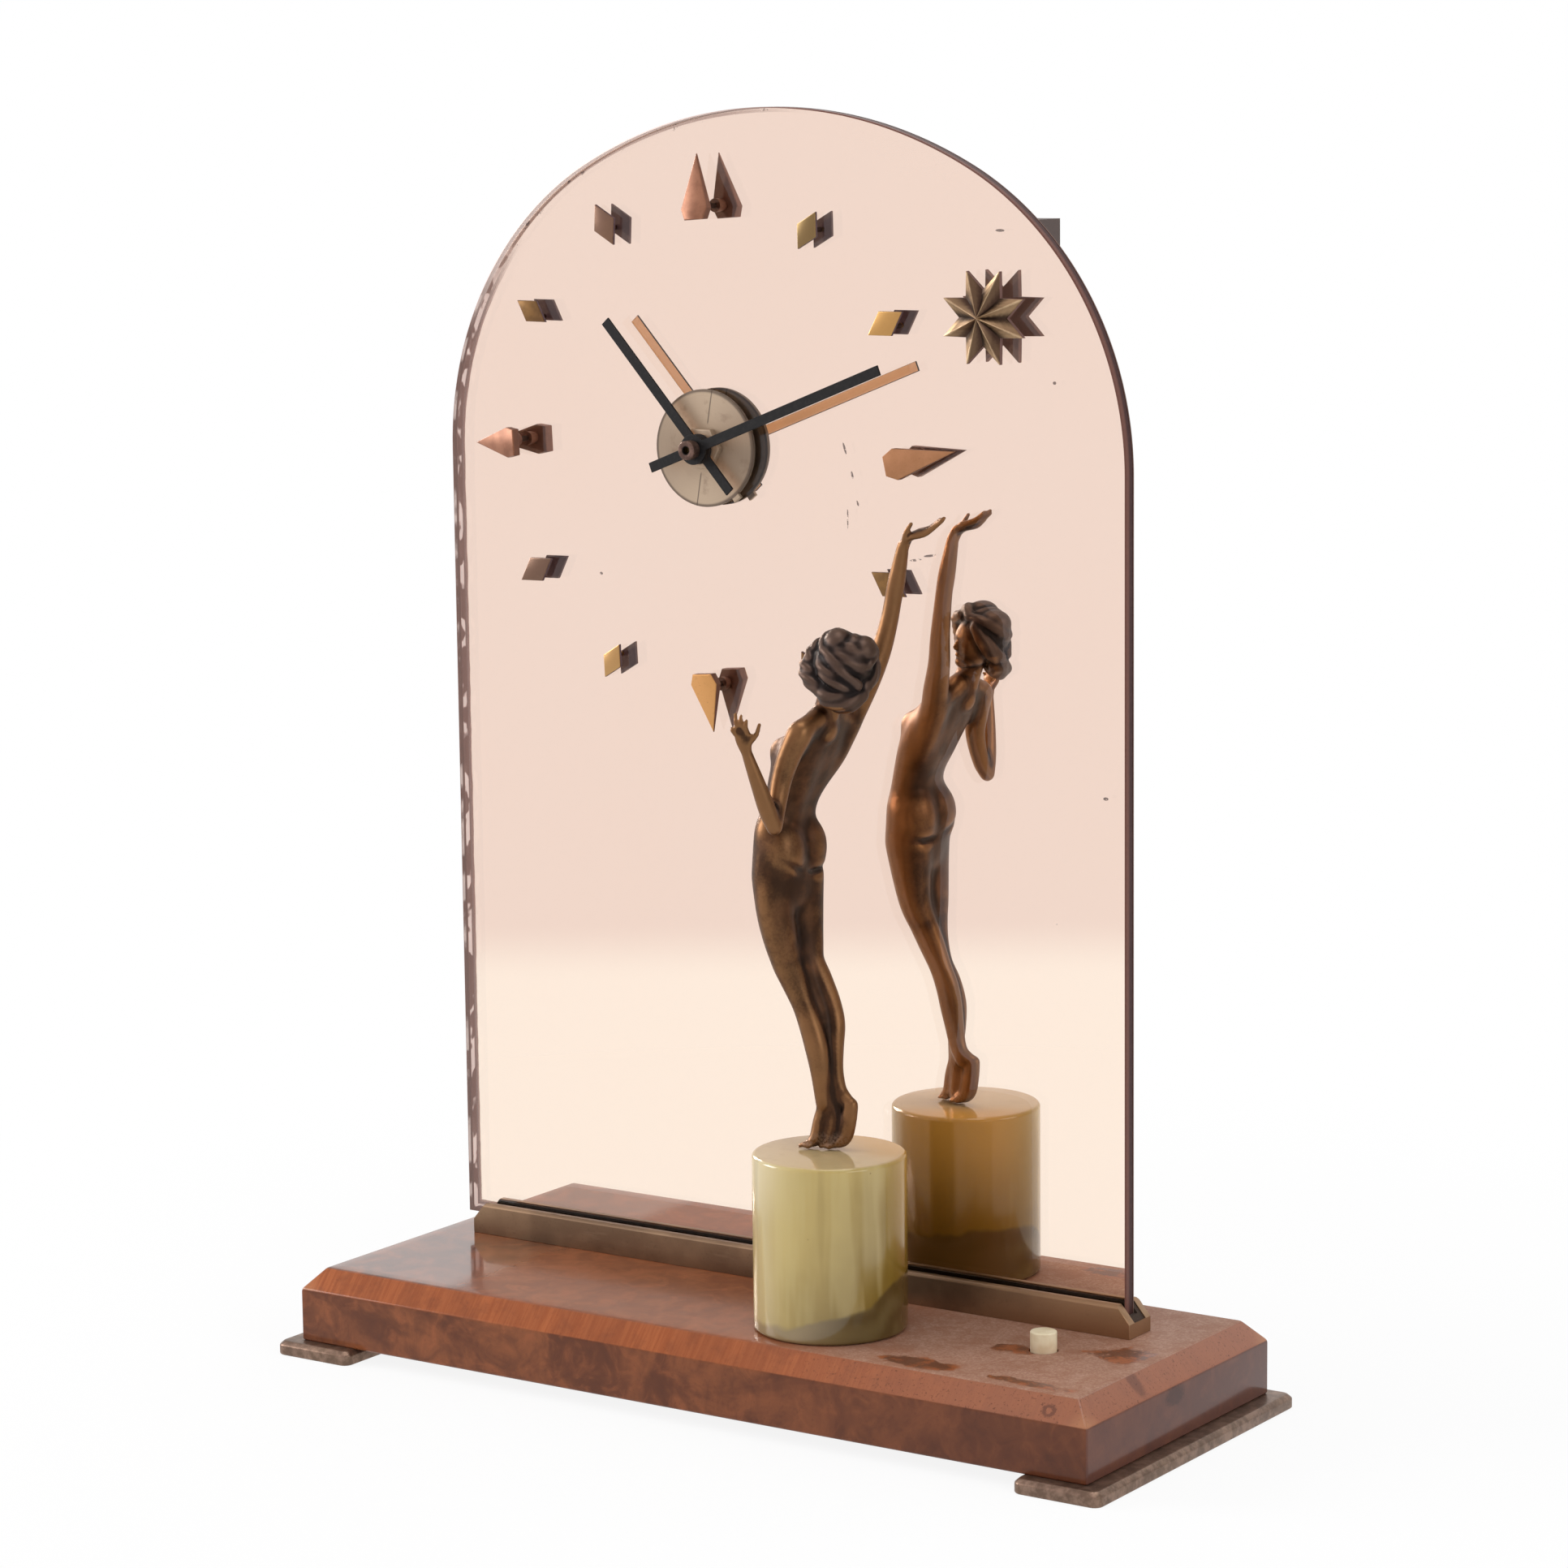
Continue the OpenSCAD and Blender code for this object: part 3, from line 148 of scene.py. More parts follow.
def ink(red, green, blue):
    """A colour given as screen values of 0 to 255, as the linear values that shaders take."""
    screen = np.array([red, green, blue]) / 255
    linear = np.where(screen > 0.04045, ((screen + 0.055) / 1.055) ** 2.4, screen / 12.92)
    return (*linear.tolist(), 1)


def mixed(share, one, other):
    """one where share is 0, other where it is 1."""
    return Wire.node("Mix", {"data_type": "RGBA"}, {0: share, 6: one, 7: other}, 2)


def stretched(place, x, y, z):
    """Millimetres along each axis times a number of their own."""
    return Wire.node("VectorMath", {"operation": "MULTIPLY"}, {0: place, 1: (x, y, z)})


def cloudy(place, scale, detail=3.0, rough=0.5, twist=0.0):
    """Noise of about 0 to 1 with this many blotches per millimetre."""
    return Wire.node("TexNoise", None, {"Vector": place, "Scale": scale, "Detail": detail, "Roughness": rough,
                                        "Distortion": twist})


def dented(height, strength, depth):
    """A normal bent by a height of 0 to 1 that stands for this depth in millimetres."""
    return Wire.node("Bump", None, {"Strength": strength, "Distance": depth * MM, "Height": height})


def finish(name, constants, varying):
    """A principled material. varying(place), with place in millimetres, gives the sockets that change."""
    made = bpy.data.materials.new(name)
    made.use_nodes = True
    Wire.tree = made.node_tree
    shader = made.node_tree.nodes["Principled BSDF"]
    for key, value in constants.items():
        shader.inputs[key].default_value = value
    place = Wire.node("TexCoord", None, None, "Object")
    place = Wire.node("VectorMath", {"operation": "SCALE"}, {0: place, "Scale": 1 / MM})
    for key, value in varying(place).items():
        made.node_tree.links.new(value.socket, shader.inputs[key])
    return made


def axis_of(place, axis):
    """One of the three numbers of a place."""
    return Wire.node("SeparateXYZ", None, {0: place}, axis)


class Shell:
    """One closed mesh, collected as loops of points: walls join loops of equal length, flat lids close them."""

    def __init__(self):
        self.points = np.zeros((0, 3))
        self.faces = []
        self.paints = []

    def loop(self, points):
        """Adds points and gives their numbers."""
        start = len(self.points)
        self.points = np.vstack([self.points, points])
        return np.arange(start, len(self.points))

    def add(self, faces, paint=0):
        """Adds faces, each given by the numbers of its corners."""
        self.faces += faces
        self.paints += [paint] * len(faces)

    def wall(self, *loops, paint=0):
        """Quads from each loop to the next one, between neighbours on both."""
        a, b = np.array(loops[:-1]), np.array(loops[1:])
        quads = np.stack([a, np.roll(a, -1, 1), np.roll(b, -1, 1), b], axis=2)
        self.add(quads.reshape(-1, 4).tolist(), paint)

    def lid(self, axes, *loops, paint=0):
        """Triangles between the first loop and the holes in it, found in the plane of two axes."""
        flat = [np.pad(self.points[ring][:, list(axes)], ((0, 0), (0, 1))).tolist() for ring in loops]
        self.add(np.concatenate(loops)[np.array(tessellate_polygon(flat))].tolist(), paint)

    def solid(self, axes, loops, paint=0):
        """Walls between the loops and a lid on the first and on the last."""
        self.wall(*loops, paint=paint)
        self.lid(axes, loops[0], paint=paint)
        self.lid(axes, loops[-1], paint=paint)

    def tube(self, rows):
        """Rows of points in one array, walled one to the next, with a flat face on both ends."""
        numbers = self.loop(rows.reshape(-1, 3)).reshape(rows.shape[:2])
        self.wall(*numbers)
        self.add(numbers[[0, -1]].tolist())


def placed(name, data):
    """A new object of the scene that shows this mesh, camera or lamp."""
    made = bpy.data.objects.new(name, data)
    bpy.context.scene.collection.objects.link(made)
    return made


def outward_mesh(name, points, faces):
    """A mesh of closed parts with every face turned outwards."""
    mesh = bpy.data.meshes.new(name)
    mesh.from_pydata(points.tolist(), [], faces)
    work = bmesh.new()
    work.from_mesh(mesh)
    bmesh.ops.recalc_face_normals(work, faces=work.faces)
    work.to_mesh(mesh)
    work.free()
    return mesh


def piece(name, shell, materials, body, nodes, crease=32, marks=None):
    """A piece on a body, in place of CAD nodes. Edges above the crease angle stay sharp."""
    mesh = outward_mesh(name, shell.points * MM, shell.faces)
    mesh.polygons.foreach_set("material_index", shell.paints)
    mesh.shade_smooth()
    mesh.set_sharp_from_angle(angle=math.radians(crease))
    for mark, values in (marks or {}).items():
        mesh.attributes.new(mark, "FLOAT", "POINT").data.foreach_set("value", values)
    for material in materials:
        mesh.materials.append(material)
    made = placed(name, mesh)
    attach(made, body)
    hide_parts(*nodes)
    return made


def rounded_rectangle(w, d, r, steps=6):
    """Corners of a rectangle about 0, each turned on a quarter circle of radius r."""
    angle = np.radians(np.arange(4)[:, None] * 90 + np.linspace(0, 90, steps)).ravel()
    corner = np.repeat([[1, 1], [-1, 1], [-1, -1], [1, -1]], steps, axis=0) * [w / 2 - r, d / 2 - r]
    return corner + r * np.stack([np.cos(angle), np.sin(angle)], 1)


def circle(centre, r, count=32):
    """Points at even angles on a circle."""
    angle = np.linspace(0, 2 * np.pi, count, endpoint=False)
    return np.array(centre) + r * np.stack([np.cos(angle), np.sin(angle)], 1)


def at_level(flat, z):
    """Points in X and Y, lifted to a height."""
    return np.column_stack([flat, np.full(len(flat), z)])


def rings(shell, middle, rows, count=32, place=at_level):
    """Circles about a middle, one for each row of radius and height (or depth, where place sets points back)."""
    return [shell.loop(place(circle(middle, r, count), along)) for r, along in rows]


def eased(profile, r, steps=4):
    """A broken line with its inner corners eased: each becomes a curve that starts and ends r away from it."""
    profile = np.array(profile, float)
    back, ahead = profile[:-2] - profile[1:-1], profile[2:] - profile[1:-1]
    reach = np.minimum(r, 0.45 * np.minimum(np.linalg.norm(back, axis=1), np.linalg.norm(ahead, axis=1)))[:, None]
    start = profile[1:-1] + reach * back / np.linalg.norm(back, axis=1, keepdims=True)
    end = profile[1:-1] + reach * ahead / np.linalg.norm(ahead, axis=1, keepdims=True)
    t = np.linspace(0, 1, steps)[None, :, None]
    arcs = (1 - t) ** 2 * start[:, None] + 2 * t * (1 - t) * profile[1:-1, None] + t ** 2 * end[:, None]
    return np.vstack([profile[:1], arcs.reshape(-1, 2), profile[-1:]])


def dull_brass_varies(place):
    """Two browns in blotches, mottled on the feet, with worn streaks and a brighter right end of the rail."""
    blotch = cloudy(place, 0.05, 3.0, 0.5)
    fine = cloudy(place, 1.1, 4.0, 0.65)
    worn = cloudy(stretched(place, 0.15, 1, 1), 0.7, 3.0)
    colour = mixed(blotch.rise(0.36, 0.66), ink(122, 98, 76), ink(150, 122, 95))
    mottle = mixed(cloudy(place, 0.3, 4.0, 0.65).rise(0.38, 0.64), ink(98, 78, 68), ink(142, 116, 102))
    colour = mixed(axis_of(place, 2).rise(6, 4.5) * 0.75, colour, mottle)
    colour = mixed(fine.rise(0.55, 0.78) * 0.35, colour, ink(82, 64, 50))
    colour = mixed(worn.rise(0.56, 0.74) * 0.3, colour, ink(158, 132, 106))
    bright_end = axis_of(place, 0).rise(55, 95) * axis_of(place, 2).rise(20, 26)
    colour = mixed(bright_end * 0.5, colour, ink(176, 136, 100))
    return {"Base Color": colour, "Roughness": 0.3 + 0.16 * fine, "Normal": dented(fine, 0.12, 0.1)}


DULL_BRASS = finish("dull_brass", {"Metallic": 0.75}, dull_brass_varies)


def two_tone(name, constants, dark, light, noise, rough, stretch=(1, 1, 1), dent=None, edge=None):
    """Two colours mixed by one noise. Roughness is a base plus a share of that noise, and so is the bump, if
    dent gives its strength and depth. edge narrows the step between the colours."""
    def varies(place):
        """The sockets that change with the place."""
        grain = cloudy(stretched(place, *stretch), *noise)
        share = grain.rise(*edge) if edge else grain
        sockets = {"Base Color": mixed(share, ink(*dark), ink(*light)), "Roughness": rough[0] + rough[1] * grain}
        if dent:
            sockets["Normal"] = dented(grain, *dent)
        return sockets

    return finish(name, constants, varies)


STEEL = two_tone("plain_steel", {"Metallic": 1.0}, (118, 117, 118), (176, 174, 172), (1.8, 4.0), (0.3, 0.2),
                 stretch=(1, 0.15, 1))


def paint_node(node, material):
    """A CAD node keeps its shape and gets this material."""
    materials = frame["nodes"][node].data.materials
    materials.clear()
    materials.append(material)


def foot_plate(name, side):
    """A rounded rectangle carried up an eased profile of inset and height, with two screw holes through it."""
    shell = Shell()
    middle = side * (FOOT_OUTER - FOOT_W / 2)
    profile = eased([(FOOT_EASE, 0), (0, FOOT_EASE), (0, FOOT_T - FOOT_BEVEL), (FOOT_BEVEL, FOOT_T),
                     (FOOT_TOP_INSET, FOOT_T)], 0.35)
    loops = [shell.loop(at_level(rounded_rectangle(FOOT_W - 2 * inset, FOOT_L - 2 * inset, FOOT_CORNER - inset * 0.5)
                                 + [middle, 0], z)) for inset, z in profile]
    shell.wall(*loops)
    sunk = [(SCREW_HEAD_R, 0), (SCREW_HEAD_R, SCREW_SINK), (SCREW_R, SCREW_SINK + SCREW_HEAD_H), (SCREW_R, FOOT_T)]
    holes = [rings(shell, (side * FOOT_SCREW_X, end), sunk) for end in (-FOOT_SCREW_Y, FOOT_SCREW_Y)]
    for hole in holes:
        shell.wall(*hole)
    for k in (0, -1):
        shell.lid((0, 1), loops[k], *[hole[k] for hole in holes])
    piece(name + "_plate", shell, [DULL_BRASS], "clock", [name])


foot_plate("foot_left", -1)
foot_plate("foot_right", 1)
paint_node("foot_screws", STEEL)

# Base: a block of wood veneered with burr walnut and polished. A bevel veneered across its grain runs round the
# top. The polish has gone dull on the right of the top, with a few glossy islands left in it.
BASE_W, BASE_D, BASE_Z, BASE_TOP = 260, 98, 4, 25
BEVEL_W, BEVEL_H, BASE_EASE, BASE_CORNER = 5.4, 6, 0.4, 0.7
BUTTON_AT, BUTTON_HOLE_R = (94, -10), 4
POCKET_W, POCKET_D, POCKET_TOP, COVER_LAP, COVER_T = 36, 26, 16, 5.02, 1.5
PLINTH_AT = (32.5, -19.5)
STUD_POCKET_R, STUD_POCKET_H = 7, 9
RAIL_X, RAIL_SCREW_PITCH, RAIL_SCREW_Y, RAIL_SINK_R, RAIL_SINK_H = -2.3, 85, 16.05, 3.5, 8

base = Shell()
base_profile = eased([(BASE_EASE, BASE_Z), (0, BASE_Z + BASE_EASE), (0, BASE_TOP - BEVEL_H), (BEVEL_W, BASE_TOP),
                      (BEVEL_W + 4, BASE_TOP)], BASE_CORNER)
base_loops = [base.loop(at_level(rounded_rectangle(BASE_W - 2 * inset, BASE_D - 2 * inset, BASE_CORNER), z))
              for inset, z in base_profile]
base.wall(*base_loops)
pocket_rows = [(POCKET_W + 2 * COVER_LAP, BASE_Z), (POCKET_W + 2 * COVER_LAP, BASE_Z + COVER_T),
               (POCKET_W, BASE_Z + COVER_T), (POCKET_W, POCKET_TOP)]
pocket = [base.loop(at_level(rounded_rectangle(w, POCKET_D, 0.2) + BUTTON_AT, z)) for w, z in pocket_rows]
base.wall(*pocket)
button_hole = rings(base, BUTTON_AT, [(BUTTON_HOLE_R, POCKET_TOP), (BUTTON_HOLE_R, BASE_TOP)])
base.wall(*button_hole)
base.lid((0, 1), pocket[-1], button_hole[0])
base.lid((0, 1), base_loops[-1], button_hole[1])
sinks = [(PLINTH_AT, STUD_POCKET_R, STUD_POCKET_H)]
sinks += [((RAIL_X + i * RAIL_SCREW_PITCH, RAIL_SCREW_Y), RAIL_SINK_R, RAIL_SINK_H) for i in (-1, 0, 1)]
sink_mouths = []
for sink_at, sink_r, sink_h in sinks:
    cup = rings(base, sink_at, [(sink_r, BASE_Z), (sink_r, BASE_Z + sink_h)])
    base.wall(*cup)
    base.lid((0, 1), cup[1])
    sink_mouths.append(cup[0])
base.lid((0, 1), base_loops[0], pocket[0], *sink_mouths)

# The middle and the half-sizes of each glossy island.
GLOSSY_ISLANDS = [((72, -37.5), (12, 4.6)), ((105, -38.5), (12, 2.6)), ((86, -13), (8, 4)), ((115, -3), (9, 7.5))]


def place_of(x, y, z):
    """A place from its three numbers."""
    return Wire.node("CombineXYZ", None, {0: x, 1: y, 2: z})


def cells(place, scale):
    """The distance to the nearest of scattered points, this many to the millimetre."""
    return Wire.node("TexVoronoi", None, {"Vector": place, "Scale": scale}, "Distance")


def square_sum(one, other):
    """The squares of two wires, added."""
    return one.math("POWER", 2) + other.math("POWER", 2)


def burr_varies(place):
    """Burr figure from two twisted noises and small eyes; streaks square to the edge on the bevel. Painted shade
    darkens the right half, and a painted sheen greys the right end.
    """
    x, y, z = (axis_of(place, k) for k in range(3))
    half = x / (BASE_W / 2)
    swirl = cloudy(place, 0.035, 4.0, 0.55, 1.6)
    curl = cloudy(place, 0.13, 5.0, 0.62, 1.2)
    pores = cloudy(place, 1.3, 3.0, 0.65)
    eyes = cells(place, 0.07)
    eye = (1 - eyes.rise(0.06, 0.24)) * curl.rise(0.45, 0.6)
    burr = mixed(swirl.rise(0.36, 0.64), ink(98, 54, 34), ink(132, 76, 46))
    on_top = z.rise(BASE_TOP - 0.35, BASE_TOP - 0.1)
    burr = mixed(curl.rise(0.46, 0.74) * (0.5 + 0.2 * on_top), burr, ink(160, 92, 56))
    burr = mixed(curl.rise(0.5, 0.3) * (0.4 + 0.25 * on_top), burr, ink(82, 46, 32))
    burr = mixed(eye * 0.35, burr, ink(70, 40, 28))
    # Painted shade: the burr is darkened towards the right end of the base.
    burr = mixed(half.rise(-0.1, 0.9) * 0.5, burr, ink(84, 48, 36))
    at_end = (abs(x) - BASE_W / 2).math("GREATER_THAN", abs(y) - BASE_D / 2)
    edge = x + at_end * (y - x)
    across = place_of(edge * 0.9, y * 0.035, z * 0.05)
    streak = cloudy(across, 1.0, 4.0, 0.7)
    broad = cloudy(across, 0.14, 2.0, 0.5)
    cross_grain = mixed(streak.rise(0.36, 0.66), ink(150, 79, 43), ink(170, 95, 54))
    cross_grain = mixed(broad.rise(0.36, 0.66) * 0.5, cross_grain, ink(140, 76, 44))
    cross_grain = mixed(cloudy(place, 0.17, 3.0, 0.6).rise(0.46, 0.7) * 0.4, cross_grain, ink(112, 60, 38))
    cross_grain = mixed(half.rise(0.0, 0.9) * 0.7, cross_grain, ink(150, 101, 80))
    cross_grain = mixed(pores.rise(0.56, 0.7) * half.rise(0.1, 0.6) * 0.45, cross_grain, ink(80, 50, 42))
    knot = square_sum((x - 117.5) / 1.8, (y + 46.8) / 1.1).math("SQRT")
    ring = 1 - abs(knot - 0.8 + (pores - 0.5) * 1.4).rise(0.16, 0.5)
    blot = square_sum((x - 126) / 4, (y + 18) / 3) + pores * 1.4
    cross_grain = mixed(ring * 0.55 + (1 - blot.rise(0.9, 1.8)) * 0.5, cross_grain, ink(72, 46, 42))
    # Painted sheen: the right end face is mixed towards a greyish pink that stands in for its sheen.
    right_end = x.rise(BASE_W / 2 - 0.5, BASE_W / 2 - 0.2)
    burr = mixed(right_end * 0.45, burr, ink(98, 70, 66))
    side_blot = square_sum((y + 3) / 6, (z - 16.5) / 3.4) + pores * 1.4
    burr = mixed((1 - side_blot.rise(0.9, 1.8)) * right_end * 0.6, burr, ink(48, 32, 32))
    on_bevel = z.rise(BASE_TOP - BEVEL_H - 0.2, BASE_TOP - BEVEL_H + 0.2) * (1 - on_top)
    wood = mixed(on_bevel, burr, cross_grain)
    shore = cloudy(place, 0.11, 4.0, 0.65) * 26 - 13
    dull = (x + shore).rise(18, 62)
    ragged = cloudy(place, 0.17, 4.0, 0.7)
    island = 0
    for (island_x, island_y), (half_x, half_y) in GLOSSY_ISLANDS:
        slip_x, slip_y = x + shore * 0.8 - island_x, y - shore * 0.2 - island_y
        away = square_sum(slip_x / half_x, slip_y / half_y)
        island = island + (1 - (away + (ragged - 0.5) * 3.2).rise(0.7, 1.05))
    island = island.capped()
    dust = cloudy(place, 0.7, 4.0, 0.7)
    satin = (x + shore * 0.3).rise(-86, -76) * on_top
    film = dull * on_top * (0.7 + 0.3 * dust) * (1 - island * 0.85)
    wood = mixed(satin * 0.42, wood, ink(166, 98, 64))
    gloss = mixed(ragged.rise(0.4, 0.52), ink(152, 80, 38), ink(84, 42, 22))
    wood = mixed(island * dull * on_top * 0.9, wood, gloss)
    grains = cloudy(place, 1.5, 3.0, 0.65)
    bloom = mixed(grains.rise(0.4, 0.66), ink(166, 128, 108), ink(194, 160, 140))
    bloom = mixed(curl.rise(0.42, 0.66) * 0.6, bloom, ink(146, 104, 82))
    wood = mixed(film * 0.8, wood, bloom)
    wood = mixed(pores.rise(0.58, 0.76) * (0.3 - 0.27 * on_top), wood, ink(58, 32, 22))
    worn_corner = (abs(x) + abs(y)).rise(170, 178) * on_bevel
    wood = mixed(worn_corner * 0.4, wood, ink(196, 140, 100))
    return {"Base Color": wood, "Roughness": 0.14 + 0.04 * curl + satin * 0.1 + film * 0.4,
            "Coat Weight": (1 - satin * 0.85) * (1 - film.capped()) * on_top * 0.7,
            "Normal": dented(pores * (1 - on_top) + curl * 0.5, 0.06, 0.1)}


BURR_WALNUT = finish("burr_walnut", {"IOR": 1.5, "Specular IOR Level": 0.25, "Coat Roughness": 0.06, "Coat IOR": 1.5,
                                     "Coat Tint": (1.0, 0.93, 0.9, 1)}, burr_varies)
piece("base_veneered", base, [BURR_WALNUT], "clock", ["base_block"], crease=40)

# Rail: a brass channel screwed to the base, with its ends cut on a slant. Felt lies between it and the glass.
# It has the same dull skin as the feet, with the felt showing as a dark line along the glass.
RAIL_L, RAIL_H, RAIL_FLOOR, RAIL_FRONT, RAIL_BACK, RAIL_WALL = 222, 9, 4, 10.3, 21.8, 2.5
RAIL_CUT_L, RAIL_CUT_H, RAIL_BEVEL, RAIL_ARRIS = 4, 5, 0.8, 0.2

rail_line = [(RAIL_FRONT, 0), (RAIL_BACK, 0), (RAIL_BACK, RAIL_FLOOR), (RAIL_BACK, RAIL_H - RAIL_BEVEL),
             (RAIL_BACK - RAIL_BEVEL, RAIL_H), (RAIL_BACK - RAIL_WALL, RAIL_H), (RAIL_BACK - RAIL_WALL, RAIL_FLOOR),
             (RAIL_FRONT + RAIL_WALL, RAIL_FLOOR), (RAIL_FRONT + RAIL_WALL, RAIL_H), (RAIL_FRONT + RAIL_BEVEL, RAIL_H),
             (RAIL_FRONT, RAIL_H - RAIL_BEVEL), (RAIL_FRONT, RAIL_FLOOR)]
rail_line = eased([rail_line[-1], *rail_line, rail_line[0]], 0.22, 3)[1:-1]
rail = Shell()
rail_half = RAIL_L / 2 - np.maximum(rail_line[:, 1] - (RAIL_H - RAIL_CUT_H), 0) * RAIL_CUT_L / RAIL_CUT_H
rail_inward = np.sign([(RAIL_FRONT + RAIL_BACK) / 2, RAIL_H / 2] - rail_line) * [1, 0.6]
rail_ends = []
for rail_side, rail_inset in ((-1, RAIL_ARRIS), (-1, 0), (1, 0), (1, RAIL_ARRIS)):
    shrunk = rail_line + rail_inset * rail_inward
    reach = RAIL_X + rail_side * (rail_half - (RAIL_ARRIS - rail_inset))
    rail_ends.append(rail.loop(np.column_stack([reach, shrunk[:, 0], shrunk[:, 1] + BASE_TOP])))
rail.solid((1, 2), rail_ends)
piece("rail_channel", rail, [DULL_BRASS], "clock", ["mirror_rail"])
paint_node("rail_screws", STEEL)
FELT = two_tone("dark_felt", {}, (40, 30, 24), (78, 60, 48), (3.5, 4.0, 0.7), (0.95, 0), dent=(0.6, 0.2))
paint_node("rail_packing", FELT)

# Mirror: an arched plate of clear glass with ground edges, silvered peach on the back and painted over.
# The silvering has come off in beads along the left edge and has flecks and a few scratches.
GLASS_X, GLASS_Z, GLASS_FRONT, GLASS_BACK, SILVER_T = -5.7, 30.5, 13.3, 17.1, 0.5
ARCH_HALF, SPRING_Z, SHOULDER_X, SHOULDER_R, CROWN_Z, CROWN_R = 111.5, 256, 20, 91.5, 218.5, 134
ARC_STEPS, SIDE_STEPS, ARRIS = 48, 40, 0.35
DIAL_AT, BUSH_HOLE_R, PIN_R = (-27.0, 259.2), 4.8, 0.7
STAR_AT = (64.3, 297.0)
LOZENGE_HOURS, LOZENGE_RING = (1, 2, 4, 5, 7, 8, 10, 11), 69.5
DROP_HOURS, DROP_INNER, DROP_PIN = (0, 3, 6, 9), 62.5, 4


def on_dial(hour, r):
    """The place of an hour on a ring about the dial's centre, in X and Z."""
    turn = math.radians(30 * hour)
    return DIAL_AT[0] + r * math.sin(turn), DIAL_AT[1] + r * math.cos(turn)


def arch(inset):
    """The glass's outline drawn in by inset: two sides, two shoulder arcs and a crown arc that touch each other."""
    meet = math.atan2(SPRING_Z - CROWN_Z, SHOULDER_X)
    arcs = []
    for middle, r, start, end in (((SHOULDER_X, SPRING_Z), SHOULDER_R, 0, meet),
                                  ((0, CROWN_Z), CROWN_R, meet, math.pi - meet),
                                  ((-SHOULDER_X, SPRING_Z), SHOULDER_R, math.pi - meet, math.pi)):
        angle = np.linspace(start, end, ARC_STEPS, endpoint=False)
        arcs.append(np.array(middle) + (r - inset) * np.stack([np.cos(angle), np.sin(angle)], 1))
    side = ARCH_HALF - inset
    rows = np.linspace(SPRING_Z, GLASS_Z + inset, SIDE_STEPS)
    left_side = np.column_stack([np.full(SIDE_STEPS, -side), rows])
    right_side = np.column_stack([np.full(SIDE_STEPS, side), rows[::-1]])[:-1]
    return np.vstack([*arcs, left_side, right_side]) + [GLASS_X, 0]


def at_depth(flat, y):
    """Points in X and Z, set back to a depth."""
    return np.column_stack([flat[:, 0], np.full(len(flat), y), flat[:, 1]])


pin_places = [on_dial(hour, LOZENGE_RING) for hour in LOZENGE_HOURS]
pin_places += [on_dial(hour, DROP_INNER + DROP_PIN) for hour in DROP_HOURS] + [STAR_AT]
glass_hole_rows = [(DIAL_AT, BUSH_HOLE_R, 40)] + [(place, PIN_R + 0.05, 12) for place in pin_places]


def bored(shell, front, back, holes, rim_paint=0):
    """Round walls from the front to the back; gives the loops at both faces."""
    mouths = []
    for middle, r, count in holes:
        mouths.append(rings(shell, middle, [(r, front), (r, back)], count, at_depth))
        shell.wall(*mouths[-1], paint=rim_paint)
    return [m[0] for m in mouths], [m[1] for m in mouths]


glass = Shell()
glass_loops = [glass.loop(at_depth(arch(inset), y)) for inset, y in
               ((ARRIS, GLASS_FRONT), (0, GLASS_FRONT + ARRIS), (0, GLASS_BACK - ARRIS), (ARRIS, GLASS_BACK))]
glass.wall(*glass_loops, paint=1)
glass_front_holes, glass_back_holes = bored(glass, GLASS_FRONT, GLASS_BACK, glass_hole_rows, 2)
glass.lid((0, 2), glass_loops[0], *glass_front_holes)
glass.lid((0, 2), glass_loops[-1], *glass_back_holes)


def clear_varies(place):
    """Almost white, with a faint warm smear."""
    smear = cloudy(place, 0.012, 2.0)
    return {"Base Color": mixed(smear, (1.0, 0.995, 0.99, 1), (1.0, 0.985, 0.975, 1)),
            "Roughness": 0.002 + 0.004 * smear}


def ground_edge_varies(place):
    """Dark on the right; brown on the left, with pale stretches where the edge is chipped. The left edge glows as
    painted light, brightest at the chips.
    """
    x, y, z = axis_of(place, 0), axis_of(place, 1), axis_of(place, 2)
    chips = cloudy(stretched(place, 0.1, 0.1, 1), 0.09, 2.0, 0.5)
    fine = cloudy(place, 0.9, 3.0, 0.6)
    middle = 1 - abs(y - (GLASS_FRONT + GLASS_BACK) / 2).rise(0.6, 1.3)
    left = (x - GLASS_X).rise(20, -60)
    dark = mixed(y.rise(14.4, 15.8), ink(112, 74, 64), ink(62, 37, 36))
    dark = mixed(fine.rise(0.4, 0.7) * 0.3, dark, ink(92, 64, 60))
    chipped = (chips + (fine - 0.5) * 0.1).rise(0.48, 0.58) * middle
    chipped = (chipped + z.rise(286, 312)).capped()
    worn = mixed(chipped, ink(132, 98, 86), ink(226, 204, 196))
    # Painted light: the left edge glows, most where it is chipped.
    glow = mixed(left, (0, 0, 0, 1), mixed(chipped, (0.08, 0.046, 0.038, 1), (0.3, 0.25, 0.23, 1)))
    return {"Base Color": mixed(left, dark, worn), "Roughness": 0.25 + 0.2 * fine, "Emission Color": glow}


CLEAR_GLASS = finish("clear_glass", {"Transmission Weight": 1.0, "IOR": 1.52}, clear_varies)
GROUND_EDGE = finish("ground_glass_edge", {"IOR": 1.5, "Specular IOR Level": 0.1, "Emission Strength": 1.0},
                     ground_edge_varies)
DRILLED = two_tone("drilled_hole", {"Specular IOR Level": 0.1}, (64, 46, 40), (92, 70, 62), (1.6, 3.0, 0.6), (0.6, 0.2))
piece("mirror_plate", glass, [CLEAR_GLASS, GROUND_EDGE, DRILLED], "clock", ["mirror_glass"], crease=25)

